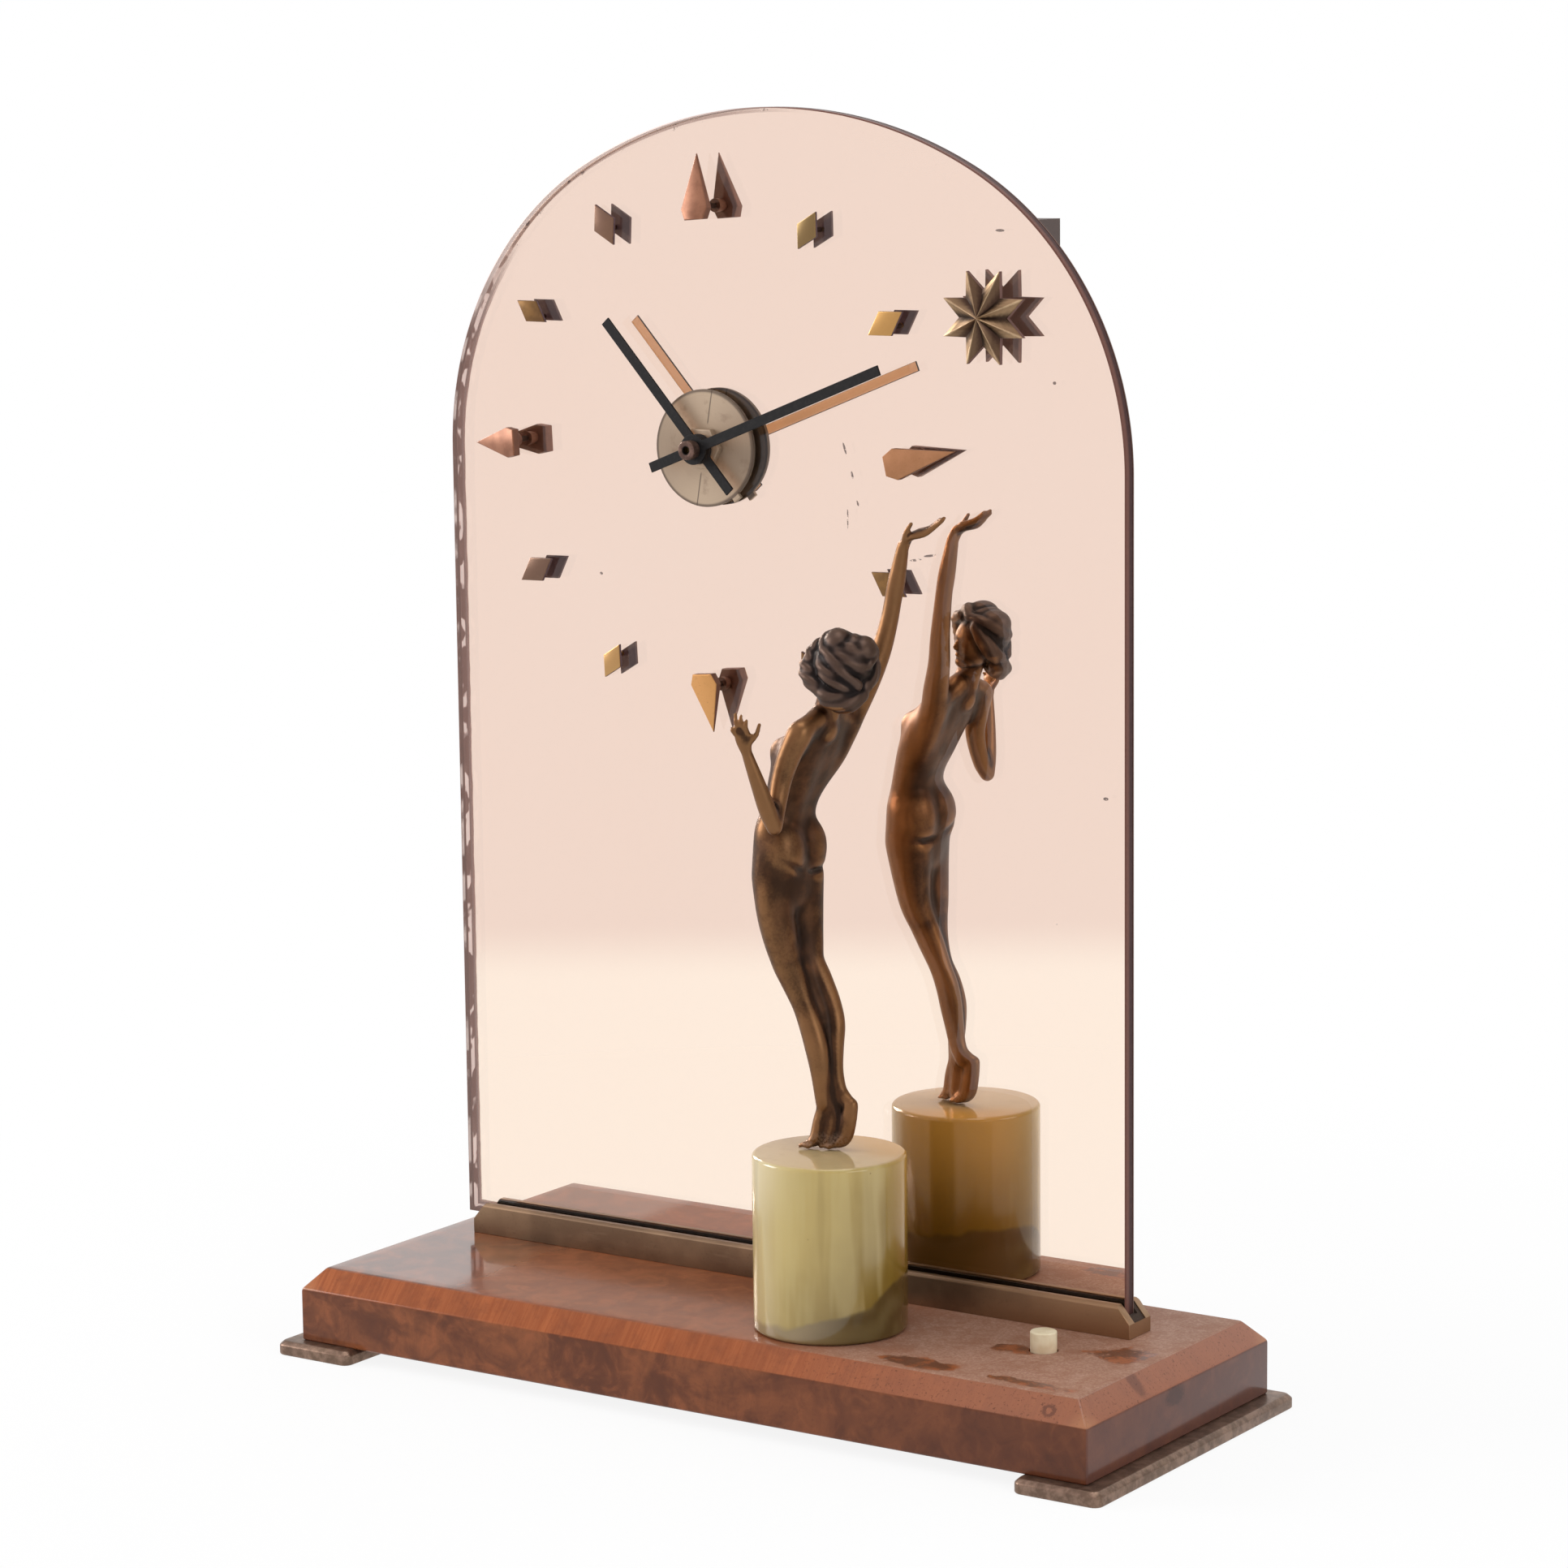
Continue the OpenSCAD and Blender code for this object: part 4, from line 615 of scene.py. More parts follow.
silver = Shell()
SILVER_FRONT, SILVER_BACK = GLASS_BACK + 0.03, GLASS_BACK + SILVER_T
band = (0.0, 0.6, 1.2, 2, 3, 4.5, 6.5, 9, 12, 16)
silver_loops = [silver.loop(at_depth(arch(inset), SILVER_FRONT)) for inset in band]
silver.wall(*silver_loops)
silver_rear = silver.loop(at_depth(arch(0), SILVER_BACK))
silver.wall(silver_loops[0], silver_rear, paint=1)
silver_front_holes, silver_back_holes = bored(silver, SILVER_FRONT, SILVER_BACK, glass_hole_rows, 1)
silver.lid((0, 2), silver_loops[-1], *silver_front_holes)
silver.lid((0, 2), silver_rear, *silver_back_holes, paint=1)
outline_step = np.linalg.norm(np.diff(arch(0), axis=0, append=arch(0)[:1]), axis=1)
along_edge = np.concatenate([[0], np.cumsum(outline_step)[:-1]])
rest = len(silver.points) - len(band) * len(along_edge)
from_edge = np.concatenate([np.repeat(band, len(along_edge)), np.full(rest, band[-1])])
round_edge = np.concatenate([np.tile(along_edge, len(band)), np.full(rest, 0.0)])

# Middle, half-sizes and lean of each scratch.
SCRATCHES = [((16.6, 260.4), (0.4, 1.7), -0.3), ((19.0, 253.2), (0.4, 1.2), -0.2), ((20.7, 245.6), (0.4, 0.8), -0.3),
             ((17.4, 241.5), (0.26, 3.4), 0.0), ((39.2, 231.0), (2.0, 0.36), 0.25), ((43.8, 232.4), (2.2, 0.36), 0.25),
             ((-66.2, 222), (0.6, 0.5), 0.0), ((66.3, 319.8), (1.6, 0.4), 0.0), ((82.9, 280), (0.6, 0.5), 0.0),
             ((98.4, 170.3), (0.9, 0.5), 0.0)]


def vertex_mark(name):
    """The number that each corner of the mesh carries under this name."""
    return Wire.node("Attribute", {"attribute_name": name}, None, "Fac")


def silvering_varies(place):
    """Peach metal with worn beads by the left edge, flecks along the arch, scratches and specks. The bare beads glow as
    painted light.
    """
    x, z = axis_of(place, 0), axis_of(place, 2)
    off, run = vertex_mark("from_edge"), vertex_mark("round_edge")
    left = (x - GLASS_X).rise(-84, -106)
    arch_left = (x - GLASS_X).rise(14, -20) * z.rise(262, 300)
    beads = cloudy(place_of(run * 0.13, off * 0.2, 0.0), 1.0, 2.0, 0.55)
    crumbs = cloudy(place_of(run * 0.24, off * 0.45, 0.0), 1.0, 4.0, 0.7)
    line = 1 - abs(off - 2.7 - (beads - 0.5) * 0.6).rise(0.25, 0.55)
    gone = off.rise(2.7, 2.3) * left
    bead = beads.rise(0.5, 0.56) * off.rise(0.1, 0.5) * off.rise(1.9, 1.5)
    rim = line * left * 0.9 + (1 - abs(off - 1.0).rise(0.25, 0.6)) * arch_left * 0.6
    stain = (1 - off.rise(0.8, 2.6)) * crumbs.rise(0.6, 0.66) * arch_left
    speck = (1 - cells(place, 0.045).rise(0.012, 0.02)) * cloudy(place, 0.02, 1.0).rise(0.5, 0.56)
    mark = stain + speck * 0.8
    for (mark_x, mark_z), (half_x, half_z), lean in SCRATCHES:
        slip_x, slip_z = x - mark_x - lean * (z - mark_z), z - mark_z - lean * (x - mark_x) * 0.5
        away = square_sum(slip_x / half_x, slip_z / half_z)
        mark = mark + (1 - away.rise(0.5, 1.0)) * cloudy(place, 0.9, 2.0).rise(0.36, 0.5) * 0.8
    mark = mark.capped()
    haze = cloudy(place, 0.01, 2.0)
    metal = mixed(haze, (1.0, 0.85, 0.722, 1), (1.0, 0.86, 0.741, 1))
    colour = mixed(rim, metal, ink(140, 98, 82))
    colour = mixed(gone, colour, mixed(bead, ink(132, 98, 86), ink(226, 204, 196)))
    colour = mixed(mark, colour, ink(98, 62, 46))
    bare = (gone + mark).capped()
    # Painted light: where the silver is gone by the left edge it glows, palest in the beads.
    glow = mixed(gone, (0, 0, 0, 1), mixed(bead, (0.1, 0.055, 0.045, 1), (0.42, 0.34, 0.31, 1)))
    return {"Base Color": colour, "Metallic": 1 - bare, "Roughness": 0.004 + bare * 0.5, "Emission Color": glow}


PEACH_SILVER = finish("peach_silvering", {"Emission Strength": 1.0}, silvering_varies)
BACKING_PAINT = two_tone("backing_paint", {}, (86, 62, 54), (116, 88, 76), (0.3, 4.0, 0.6), (0.5, 0.2),
                         stretch=(1, 1, 0.08), dent=(0.3, 0.15))
piece("mirror_silvering", silver, [PEACH_SILVER, BACKING_PAINT], "clock", ["mirror_silver"],
      crease=25, marks={"from_edge": from_edge, "round_edge": round_edge})

# Markers: eight lozenges cut from brass sheet, four copper drops that lean out from the glass, and a cast star.
# Each has a pin through the glass with a steel clip on the back.
LOZENGE_L, LOZENGE_W, LOZENGE_T, LOZENGE_OFF = 12.6, 7.6, 1.2, 1.1
# Painted reflections: colours that some lozenges are mixed towards, golden at two and seven.
LOZENGE_REFLECTION = {1: ink(140, 118, 78), 2: ink(208, 162, 98), 7: ink(204, 162, 106), 8: ink(124, 99, 86),
                11: ink(126, 99, 86)}
LOZENGE_SIZE = {1: 0.92, 7: 0.86, 10: 0.9}
LOZENGE_SLIP = {2: -0.8, 7: -1.8, 8: -1.8, 10: 1.8, 11: 1.6}
DROP_W, DROP_SHOULDER, DROP_THICK, DROP_THIN = 8.6, 3, 3.2, 0.6
COLLAR_R, COLLAR_TIP_R = 1.9, 1.5
# For each drop: length, width of the blunt end, how far that end and the tip stand off the glass, swivel and slip.
DROPS = {0: (18.0, 6.0, 7.3, 3.4, -4.2, (0.6, 0.4)), 3: (20.6, 5.4, 4.8, 0.9, -12.5, (-1.9, -1.7)),
         6: (16.6, 6.0, 6.5, 2.7, -4.5, (1.2, 0)), 9: (17.0, 7.4, 7.3, 2.3, -2.7, (0, -0.5))}
STAR_R, STAR_VALLEY_R, STAR_BACK, STAR_RIM, STAR_HIGH = 13.3, 7.4, 1.7, 3.5, 6.8


def drawn_in(outline, inset):
    """Every side of an anticlockwise outline moved inwards; its corners go to where the moved sides meet."""
    ahead = np.roll(outline, -1, 0) - outline
    normal = np.stack([-ahead[:, 1], ahead[:, 0]], 1) / np.linalg.norm(ahead, axis=1, keepdims=True)
    before = np.roll(normal, 1, 0)
    return outline + inset * (normal + before) / (1 + (normal * before).sum(1, keepdims=True))


def stood_on_dial(local, turn):
    """Points across, along the radius and out from the glass, turned clockwise about the dial's centre."""
    across, along, out = np.asarray(local).T
    c, s = math.cos(turn), math.sin(turn)
    return np.column_stack([DIAL_AT[0] + across * c + along * s, GLASS_FRONT - out,
                            DIAL_AT[1] - across * s + along * c])


def pin(shell, place, front):
    """A round pin through the glass and the clip behind it."""
    shell.solid((0, 2), rings(shell, place, [(PIN_R, front), (PIN_R, GLASS_BACK + SILVER_T + 1)], 12, at_depth))


def back_and_front(shell, loops):
    """Walls between the loops and a lid on the first; up to the third loop in the colour of the back, which gives the
    side walls painted shade.
    """
    shell.wall(*loops[:3], paint=1)
    shell.wall(*loops[2:])
    shell.lid((0, 2), loops[0], paint=1)


lozenges = Shell()
lozenge_line = np.array([(0, -LOZENGE_L / 2), (LOZENGE_W / 2, 0), (0, LOZENGE_L / 2), (-LOZENGE_W / 2, 0)])
lozenge_rows = [(0.1, 0.02), (0, 0.12), (0, LOZENGE_T - 0.28), (0.08, LOZENGE_T - 0.08), (0.28, LOZENGE_T)]
for hour in LOZENGE_HOURS:
    loops = []
    for inset, out in lozenge_rows:
        line = drawn_in(lozenge_line * LOZENGE_SIZE.get(hour, 1), inset)
        local = np.column_stack([line + [0, LOZENGE_RING], np.full(4, out + LOZENGE_OFF)])
        loops.append(lozenges.loop(stood_on_dial(local, math.radians(30 * hour + LOZENGE_SLIP.get(hour, 0)))))
    back_and_front(lozenges, loops)
    lozenges.lid((0, 2), loops[-1])
    pin(lozenges, on_dial(hour, LOZENGE_RING), GLASS_FRONT - LOZENGE_OFF - 0.6)


def old_brass_varies(place):
    """Blotches of two browns under darker clouds and specks; some lozenges are mixed towards a painted reflection of
    their own.
    """
    blotch = cloudy(place, 0.05, 2.0, 0.5)
    cloud = cloudy(place, 0.35, 3.0, 0.6)
    speckle = cloudy(place, 3.0, 3.0, 0.7)
    colour = mixed(blotch.rise(0.36, 0.64), ink(114, 86, 63), ink(140, 106, 64))
    colour = mixed(cloud.rise(0.35, 0.7) * 0.5, colour, ink(96, 73, 50))
    x, z = axis_of(place, 0), axis_of(place, 2)
    for hour, tint in LOZENGE_REFLECTION.items():
        lozenge_x, lozenge_z = on_dial(hour, LOZENGE_RING)
        near = square_sum(x - lozenge_x, z - lozenge_z).rise(120, 100)
        colour = mixed(near * 0.75, colour, tint)
    colour = mixed(speckle.rise(0.58, 0.74) * 0.3, colour, ink(70, 52, 38))
    return {"Base Color": colour, "Roughness": 0.24 + 0.15 * speckle, "Normal": dented(cloud, 0.1, 0.1)}


OLD_BRASS = finish("old_brass", {"Metallic": 0.9}, old_brass_varies)
# Painted light: the backs and side walls of the lozenges glow faintly.
BROWN_BACK = two_tone("brown_back", {"Specular IOR Level": 0.2, "Emission Color": (0.02, 0.011, 0.013, 1),
                                     "Emission Strength": 1.0},
                      (76, 59, 61), (102, 81, 82), (0.4, 3.0, 0.6), (0.5, 0.2))
piece("hour_lozenge_set", lozenges, [OLD_BRASS, BROWN_BACK], "clock", ["hour_lozenges"])


def turn_by(degrees):
    """The turn of flat points by an angle, as a matrix that they are multiplied with from the left."""
    c, s = math.cos(math.radians(degrees)), math.sin(math.radians(degrees))
    return np.array([[c, -s], [s, c]])


drops = Shell()
for hour, (drop_l, end_w, high, low, swivel, slip) in DROPS.items():
    drop_line = np.array([(-end_w / 2, 0), (end_w / 2, 0), (DROP_W / 2, DROP_SHOULDER), (0, drop_l),
                          (-DROP_W / 2, DROP_SHOULDER)])
    loops = []
    for inset, share in ((0.2, 1.0), (0, 0.88), (0, 0.14), (0.1, 0.04), (0.3, 0.0)):
        line = drawn_in(drop_line, inset)
        slope = np.clip(line[:, 1] / drop_l, 0, 1)
        front = high + (low - high) * slope
        thick = DROP_THICK + (DROP_THIN - DROP_THICK) * slope
        flat = (line - [0, DROP_PIN]) @ turn_by(swivel) + [0, DROP_INNER + DROP_PIN]
        local = np.column_stack([flat, front - share * thick])
        loops.append(drops.loop(stood_on_dial(local, math.radians(30 * hour)) + [slip[0], 0, slip[1]]))
    back_and_front(drops, loops)
    drops.lid((0, 2), loops[-1])
    pin_slope = DROP_PIN / drop_l
    behind_drop = high + (low - high) * pin_slope - DROP_THICK - (DROP_THIN - DROP_THICK) * pin_slope
    pin_place = on_dial(hour, DROP_INNER + DROP_PIN)
    pin(drops, pin_place, GLASS_FRONT - behind_drop - 0.4)
    collar_rows = [(COLLAR_R, GLASS_FRONT - 0.05), (COLLAR_R, GLASS_FRONT - behind_drop * 0.5),
                   (COLLAR_TIP_R, GLASS_FRONT - (behind_drop + 0.2))]
    drops.solid((0, 2), rings(drops, pin_place, collar_rows, 24, at_depth), paint=1)


def off_middle(place, middle):
    """How far a place lies to the right of a middle on the glass, and above it."""
    return axis_of(place, 0) - middle[0], axis_of(place, 2) - middle[1]


def copper_varies(place):
    """Two browns in blotches with dark specks, and a painted highlight on the drops at three and at six."""
    blotch = cloudy(place, 0.16, 4.0, 0.6)
    fine = cloudy(place, 2.5, 3.0, 0.6)
    colour = mixed(blotch.rise(0.35, 0.65), ink(130, 86, 64), ink(154, 106, 81))
    x, z = off_middle(place, DIAL_AT)
    # Painted highlight: the drops at three and at six are mixed lighter and more golden.
    colour = mixed(x.rise(50, 56) * 0.45, colour, ink(206, 148, 98))
    colour = mixed(z.rise(-50, -56) * 0.8, colour, ink(226, 166, 98))
    colour = mixed(fine.rise(0.6, 0.76) * 0.5, colour, ink(112, 66, 48))
    return {"Base Color": colour, "Roughness": 0.34 + 0.15 * fine, "Normal": dented(blotch, 0.2, 0.2)}


COPPER = finish("old_copper", {"Metallic": 0.6}, copper_varies)
COPPER_BACK = two_tone("copper_back", {"Metallic": 0.3}, (116, 76, 60), (146, 100, 80), (0.4, 3.0, 0.6), (0.45, 0.2))
piece("quarter_drop_set", drops, [COPPER, COPPER_BACK], "clock", ["quarter_drops"])

star = Shell()
STAR_POINTS = 16
is_ray = np.arange(STAR_POINTS) % 2 == 0
star_turn = (np.arange(STAR_POINTS) + 1) * 2 * math.pi / STAR_POINTS
star_spokes = np.where(is_ray, STAR_R, STAR_VALLEY_R)[:, None] * np.stack([np.cos(star_turn), np.sin(star_turn)], 1)
star_loops = []
for share, out in ((0.985, STAR_BACK), (1, STAR_BACK + 0.2), (1, STAR_RIM - 0.25)):
    star_loops.append(star.loop(at_depth(STAR_AT + star_spokes * share, GLASS_FRONT - out)))
for share in (0.985, 0.82, 0.64, 0.46, 0.3, 0.16):
    hollow = np.where(is_ray, 1 - share, (1 - share) ** 1.7)
    rows = at_depth(STAR_AT + star_spokes * share, 0)
    rows[:, 1] = GLASS_FRONT - STAR_RIM - (STAR_HIGH - STAR_RIM) * hollow
    star_loops.append(star.loop(rows))
back_and_front(star, star_loops)
star_top = star.loop([[STAR_AT[0], GLASS_FRONT - STAR_HIGH, STAR_AT[1]]])[0]
star.add(np.column_stack([star_loops[-1], np.roll(star_loops[-1], -1), np.full(STAR_POINTS, star_top)]).tolist())
pin(star, STAR_AT, GLASS_FRONT - STAR_BACK - 1)
on_ridge = np.full(len(star.points), 0.5)
on_ridge[:star_top] = np.tile(is_ray, len(star_loops))
on_ridge[star_top] = 1


def star_brass_varies(place):
    """Brass with a painted highlight along the ridges of the rays, darker towards the valleys, and painted shade on the
    facets that face right.
    """
    ridge = vertex_mark("ridge")
    fine = cloudy(place, 1.6, 4.0, 0.65)
    colour = mixed((ridge + (fine - 0.5) * 0.3).rise(0.05, 0.6), ink(60, 44, 33), ink(154, 126, 95))
    # Painted highlight: the ridges of the rays are lightest.
    colour = mixed((ridge + (fine - 0.5) * 0.3).rise(0.8, 1.0) * 0.7, colour, ink(208, 180, 144))
    # Painted shade: one facet of each ray, the one that faces right, is darkened, most above and below the middle.
    x, z = off_middle(place, STAR_AT)
    turn = z.math("ARCTAN2", x)
    to_right = ((turn * 8).math("SINE") * 3).capped().math("MAXIMUM", -1.0) * turn.math("SINE")
    colour = mixed(to_right.rise(0.1, 0.8) * 0.7, colour, ink(74, 52, 42))
    return {"Base Color": colour, "Roughness": 0.28 + 0.2 * fine}


# Painted shade and light: the star's back and side walls are a dark violet-brown for their shade, with a faint glow.
STAR_BACK_SHADE_AND_GLOW = two_tone("star_back", {"Specular IOR Level": 0.1, "Emission Color": (0.038, 0.024, 0.021, 1),
                                         "Emission Strength": 1.0},
                           (104, 76, 70), (122, 92, 84), (0.3, 3.0, 0.6), (0.6, 0.2))
STAR_BRASS = finish("star_brass", {"Metallic": 0.85}, star_brass_varies)
piece("star_ornament", star, [STAR_BRASS, STAR_BACK_SHADE_AND_GLOW], "clock", ["star"], crease=6,
      marks={"ridge": on_ridge})
paint_node("marker_clips", STEEL)

# Dial centre: a turned nickel disc with a locating tab, on a rubber washer, held by a hexagon nut on the
# movement's bush. Fine rings from the lathe show on it, and a line is scribed down it.
DISC_R, DISC_FRONT, DISC_T, BUSH_R = 16.3, 11.3, 1.2, 4.02
TAB_ANGLE, TAB_HALF, TAB_OUT = -52, 1.3, 1.4
NUT_R, NUT_FRONT, NUT_T = 6.2, 9.4, 1.9


def plate(shell, outline, holes, front, back, arris, paints=(0, 0, 0)):
    """A flat plate in X and Z. Its rim is eased at both faces; paints are for the front, the rim and the back."""
    rows = eased([(arris * 2, front), (0, front), (0, back), (arris * 2, back)], arris, 3)
    loops = [shell.loop(at_depth(drawn_in(outline, inset) if inset else outline, y)) for inset, y in rows]
    shell.wall(*loops[1:-1], paint=paints[1])
    shell.wall(*loops[:2], paint=paints[0])
    shell.wall(*loops[-2:], paint=paints[2])
    front_holes, back_holes = bored(shell, front, back, holes, paints[1])
    shell.lid((0, 2), loops[0], *front_holes, paint=paints[0])
    shell.lid((0, 2), loops[-1], *back_holes, paint=paints[2])


half_tab = math.degrees(math.asin(TAB_HALF / DISC_R))
disc_angle = np.radians(TAB_ANGLE + np.linspace(half_tab, 360 - half_tab, 140))
disc_line = DISC_R * np.stack([np.cos(disc_angle), np.sin(disc_angle)], 1)
tab_ray = np.array([math.cos(math.radians(TAB_ANGLE)), math.sin(math.radians(TAB_ANGLE))])
tab_side = TAB_HALF * np.array([-tab_ray[1], tab_ray[0]])
tab_end = (DISC_R + TAB_OUT) * tab_ray
disc_outline = np.vstack([disc_line, tab_end - tab_side, tab_end + tab_side]) + DIAL_AT
disc = Shell()
plate(disc, disc_outline, [(DIAL_AT, BUSH_R, 40)], DISC_FRONT, DISC_FRONT + DISC_T, 0.2)


def turned_nickel_varies(place):
    """Noise over the radius makes the lathe rings; two painted bright sectors stand in for the reflection off the
    rings; stains, a dark rim and the scribed line.
    """
    x, z = off_middle(place, DIAL_AT)
    r = (x * x + z * z).math("SQRT")
    lathe_rings = cloudy(place_of(r * 3.2, 0.0, 0.0), 1.0, 4.0, 0.7)
    # Painted reflection: two bright sectors across the disc, as a turned face shows them.
    glow = (x.math("ARCTAN2", z) * 2).math("COSINE") * 0.5 + 0.5
    stain = cloudy(place, 0.2, 4.0, 0.6)
    colour = mixed(glow * 0.5 + lathe_rings * 0.5, ink(140, 122, 104), ink(192, 171, 147))
    colour = mixed(stain.rise(0.55, 0.75) * 0.5, colour, ink(120, 98, 80))
    rim = r.rise(DISC_R - 1.1, DISC_R - 0.4) * r.rise(DISC_R + 0.3, DISC_R + 0.1)
    colour = mixed(rim * 0.75, colour, ink(74, 60, 52))
    scribed = (1 - abs(x * 0.985 - z * 0.17).rise(0.12, 0.26)) * r.rise(6.5, 7.5)
    colour = mixed(scribed * 0.7, colour, ink(70, 58, 50))
    return {"Base Color": colour, "Roughness": 0.42 + 0.15 * lathe_rings, "Normal": dented(lathe_rings, 0.25, 0.05)}


TURNED_NICKEL = finish("turned_nickel", {"Metallic": 0.55}, turned_nickel_varies)
piece("dial_disc_turned", disc, [TURNED_NICKEL], "clock", ["dial_disc"], crease=28)
RUBBER = two_tone("washer_rubber", {}, (26, 24, 23), (58, 53, 49), (1.2, 4.0, 0.7), (0.7, 0.2))
paint_node("disc_washer", RUBBER)
nut = Shell()
plate(nut, circle(DIAL_AT, NUT_R, 6), [(DIAL_AT, BUSH_R, 40)], NUT_FRONT, NUT_FRONT + NUT_T, 0.25)
piece("dial_nut_hexagon", nut, [TURNED_NICKEL], "clock", ["dial_nut"])

# Hands: two straight bars cut from sheet, enamelled black in front and left copper-coloured behind. A turned
# brass nut holds them on the arbor.
MINUTE_L, HOUR_L, HAND_TAIL, HAND_W, HAND_T, BOSS_R = 65.5, 46.5, 15.5, 2.8, 0.7, 4.2
MINUTE_TURN, HOUR_TURN, MINUTE_FRONT, HOUR_FRONT = 69, 318, 5.55, 8.1
CANNON_R, HOUR_PIPE_R = 1.62, 2.22
HAND_NUT_R, HAND_NUT_FRONT, HAND_NUT_BACK, ARBOR_R = 2.7, 2.3, 5.5, 1.02


def hand_line(length):
    """A bar with a round boss: the boss's arcs run from one side of the bar to the other."""
    meet = math.asin(HAND_W / 2 / BOSS_R)
    side = np.linspace(math.pi / 2 - meet, -math.pi / 2 + meet, 16)
    right = BOSS_R * np.stack([np.cos(side), np.sin(side)], 1)
    half = HAND_W / 2
    return np.vstack([[(half, length)], right, [(half, -HAND_TAIL), (-half, -HAND_TAIL)], -right,
                      [(-half, length)]])[::-1]


HAND_BLACK = two_tone("hand_black", {"Specular IOR Level": 0.25}, (14, 13, 14), (36, 33, 33), (1.0, 4.0, 0.7),
                      (0.45, 0.25), edge=(0.4, 0.8))
# Painted light: the copper backs are made very light and glow, for the light the mirror throws on them.
HAND_COPPER = two_tone("hand_copper", {"Metallic": 0.25, "Emission Color": (0.26, 0.15, 0.08, 1),
                                       "Emission Strength": 1.0},
                       (238, 188, 152), (252, 212, 180), (0.3, 4.0, 0.6), (0.35, 0.2))


def hand(name, length, turn, front, hole_r, body):
    """A plate with the hand's outline, turned clockwise from twelve, with a hole for its pipe."""
    shell = Shell()
    outline = hand_line(length) @ turn_by(turn) + DIAL_AT
    plate(shell, outline, [(DIAL_AT, hole_r, 32)], front, front + HAND_T, 0.1, (0, 0, 1))
    piece(name + "_bar", shell, [HAND_BLACK, HAND_COPPER], body, [name])


hand("hour_hand", HOUR_L, HOUR_TURN, HOUR_FRONT, HOUR_PIPE_R, "hour_train")
hand("minute_hand", MINUTE_L, MINUTE_TURN, MINUTE_FRONT, CANNON_R, "minute_train")

hand_nut = Shell()
nut_rows = eased([(ARBOR_R, HAND_NUT_FRONT + 0.6), (ARBOR_R, HAND_NUT_FRONT), (HAND_NUT_R, HAND_NUT_FRONT),
                  (HAND_NUT_R, HAND_NUT_BACK), (ARBOR_R, HAND_NUT_BACK)], 0.4)
nut_loops = rings(hand_nut, DIAL_AT, nut_rows, 48, at_depth)
hand_nut.wall(*nut_loops, nut_loops[0])


def dark_brass_varies(place):
    """Two browns in smoky clouds, with painted shade making the bore nearly black."""
    smoke = cloudy(place, 0.6, 3.0, 0.6)
    x, z = off_middle(place, DIAL_AT)
    # Painted shade: the bore is darkened to nearly black.
    bore = (x * x + z * z).rise(2.2, 1.2)
    colour = mixed(smoke.rise(0.4, 0.65), ink(88, 68, 60), ink(118, 93, 82))
    return {"Base Color": mixed(bore, colour, ink(20, 16, 15)), "Roughness": 0.3 + 0.2 * smoke}


DARK_BRASS = finish("smoked_brass", {"Metallic": 0.75}, dark_brass_varies)
piece("hand_nut_turned", hand_nut, [DARK_BRASS], "minute_train", ["hand_nut"])

# Plinth: a short column of green onyx, sawn, turned and polished, with an olive zone that rises to the right at its
# foot. A steel stud through it holds the figure, with a nut and a washer under the base.
PLINTH_R, PLINTH_TOP, PLINTH_BEVEL, STUD_HOLE_R = 21, 73.5, 0.7, 1.8
STUD_HOLE_TOP, PLINTH_FOOT, TIP_R = PLINTH_TOP - 5, BASE_TOP + 0.02, 0.02
VIEW_COS, VIEW_SIN = 0.83, 0.56
plinth = Shell()
plinth_rows = eased([(TIP_R, STUD_HOLE_TOP), (STUD_HOLE_R, STUD_HOLE_TOP), (STUD_HOLE_R, PLINTH_FOOT),
                     (PLINTH_R - PLINTH_BEVEL, PLINTH_FOOT), (PLINTH_R, BASE_TOP + PLINTH_BEVEL),
                     (PLINTH_R, PLINTH_TOP - PLINTH_BEVEL), (PLINTH_R - PLINTH_BEVEL, PLINTH_TOP),
                     (TIP_R, PLINTH_TOP)], 0.5)
plinth.solid((0, 1), rings(plinth, PLINTH_AT, plinth_rows, 128))


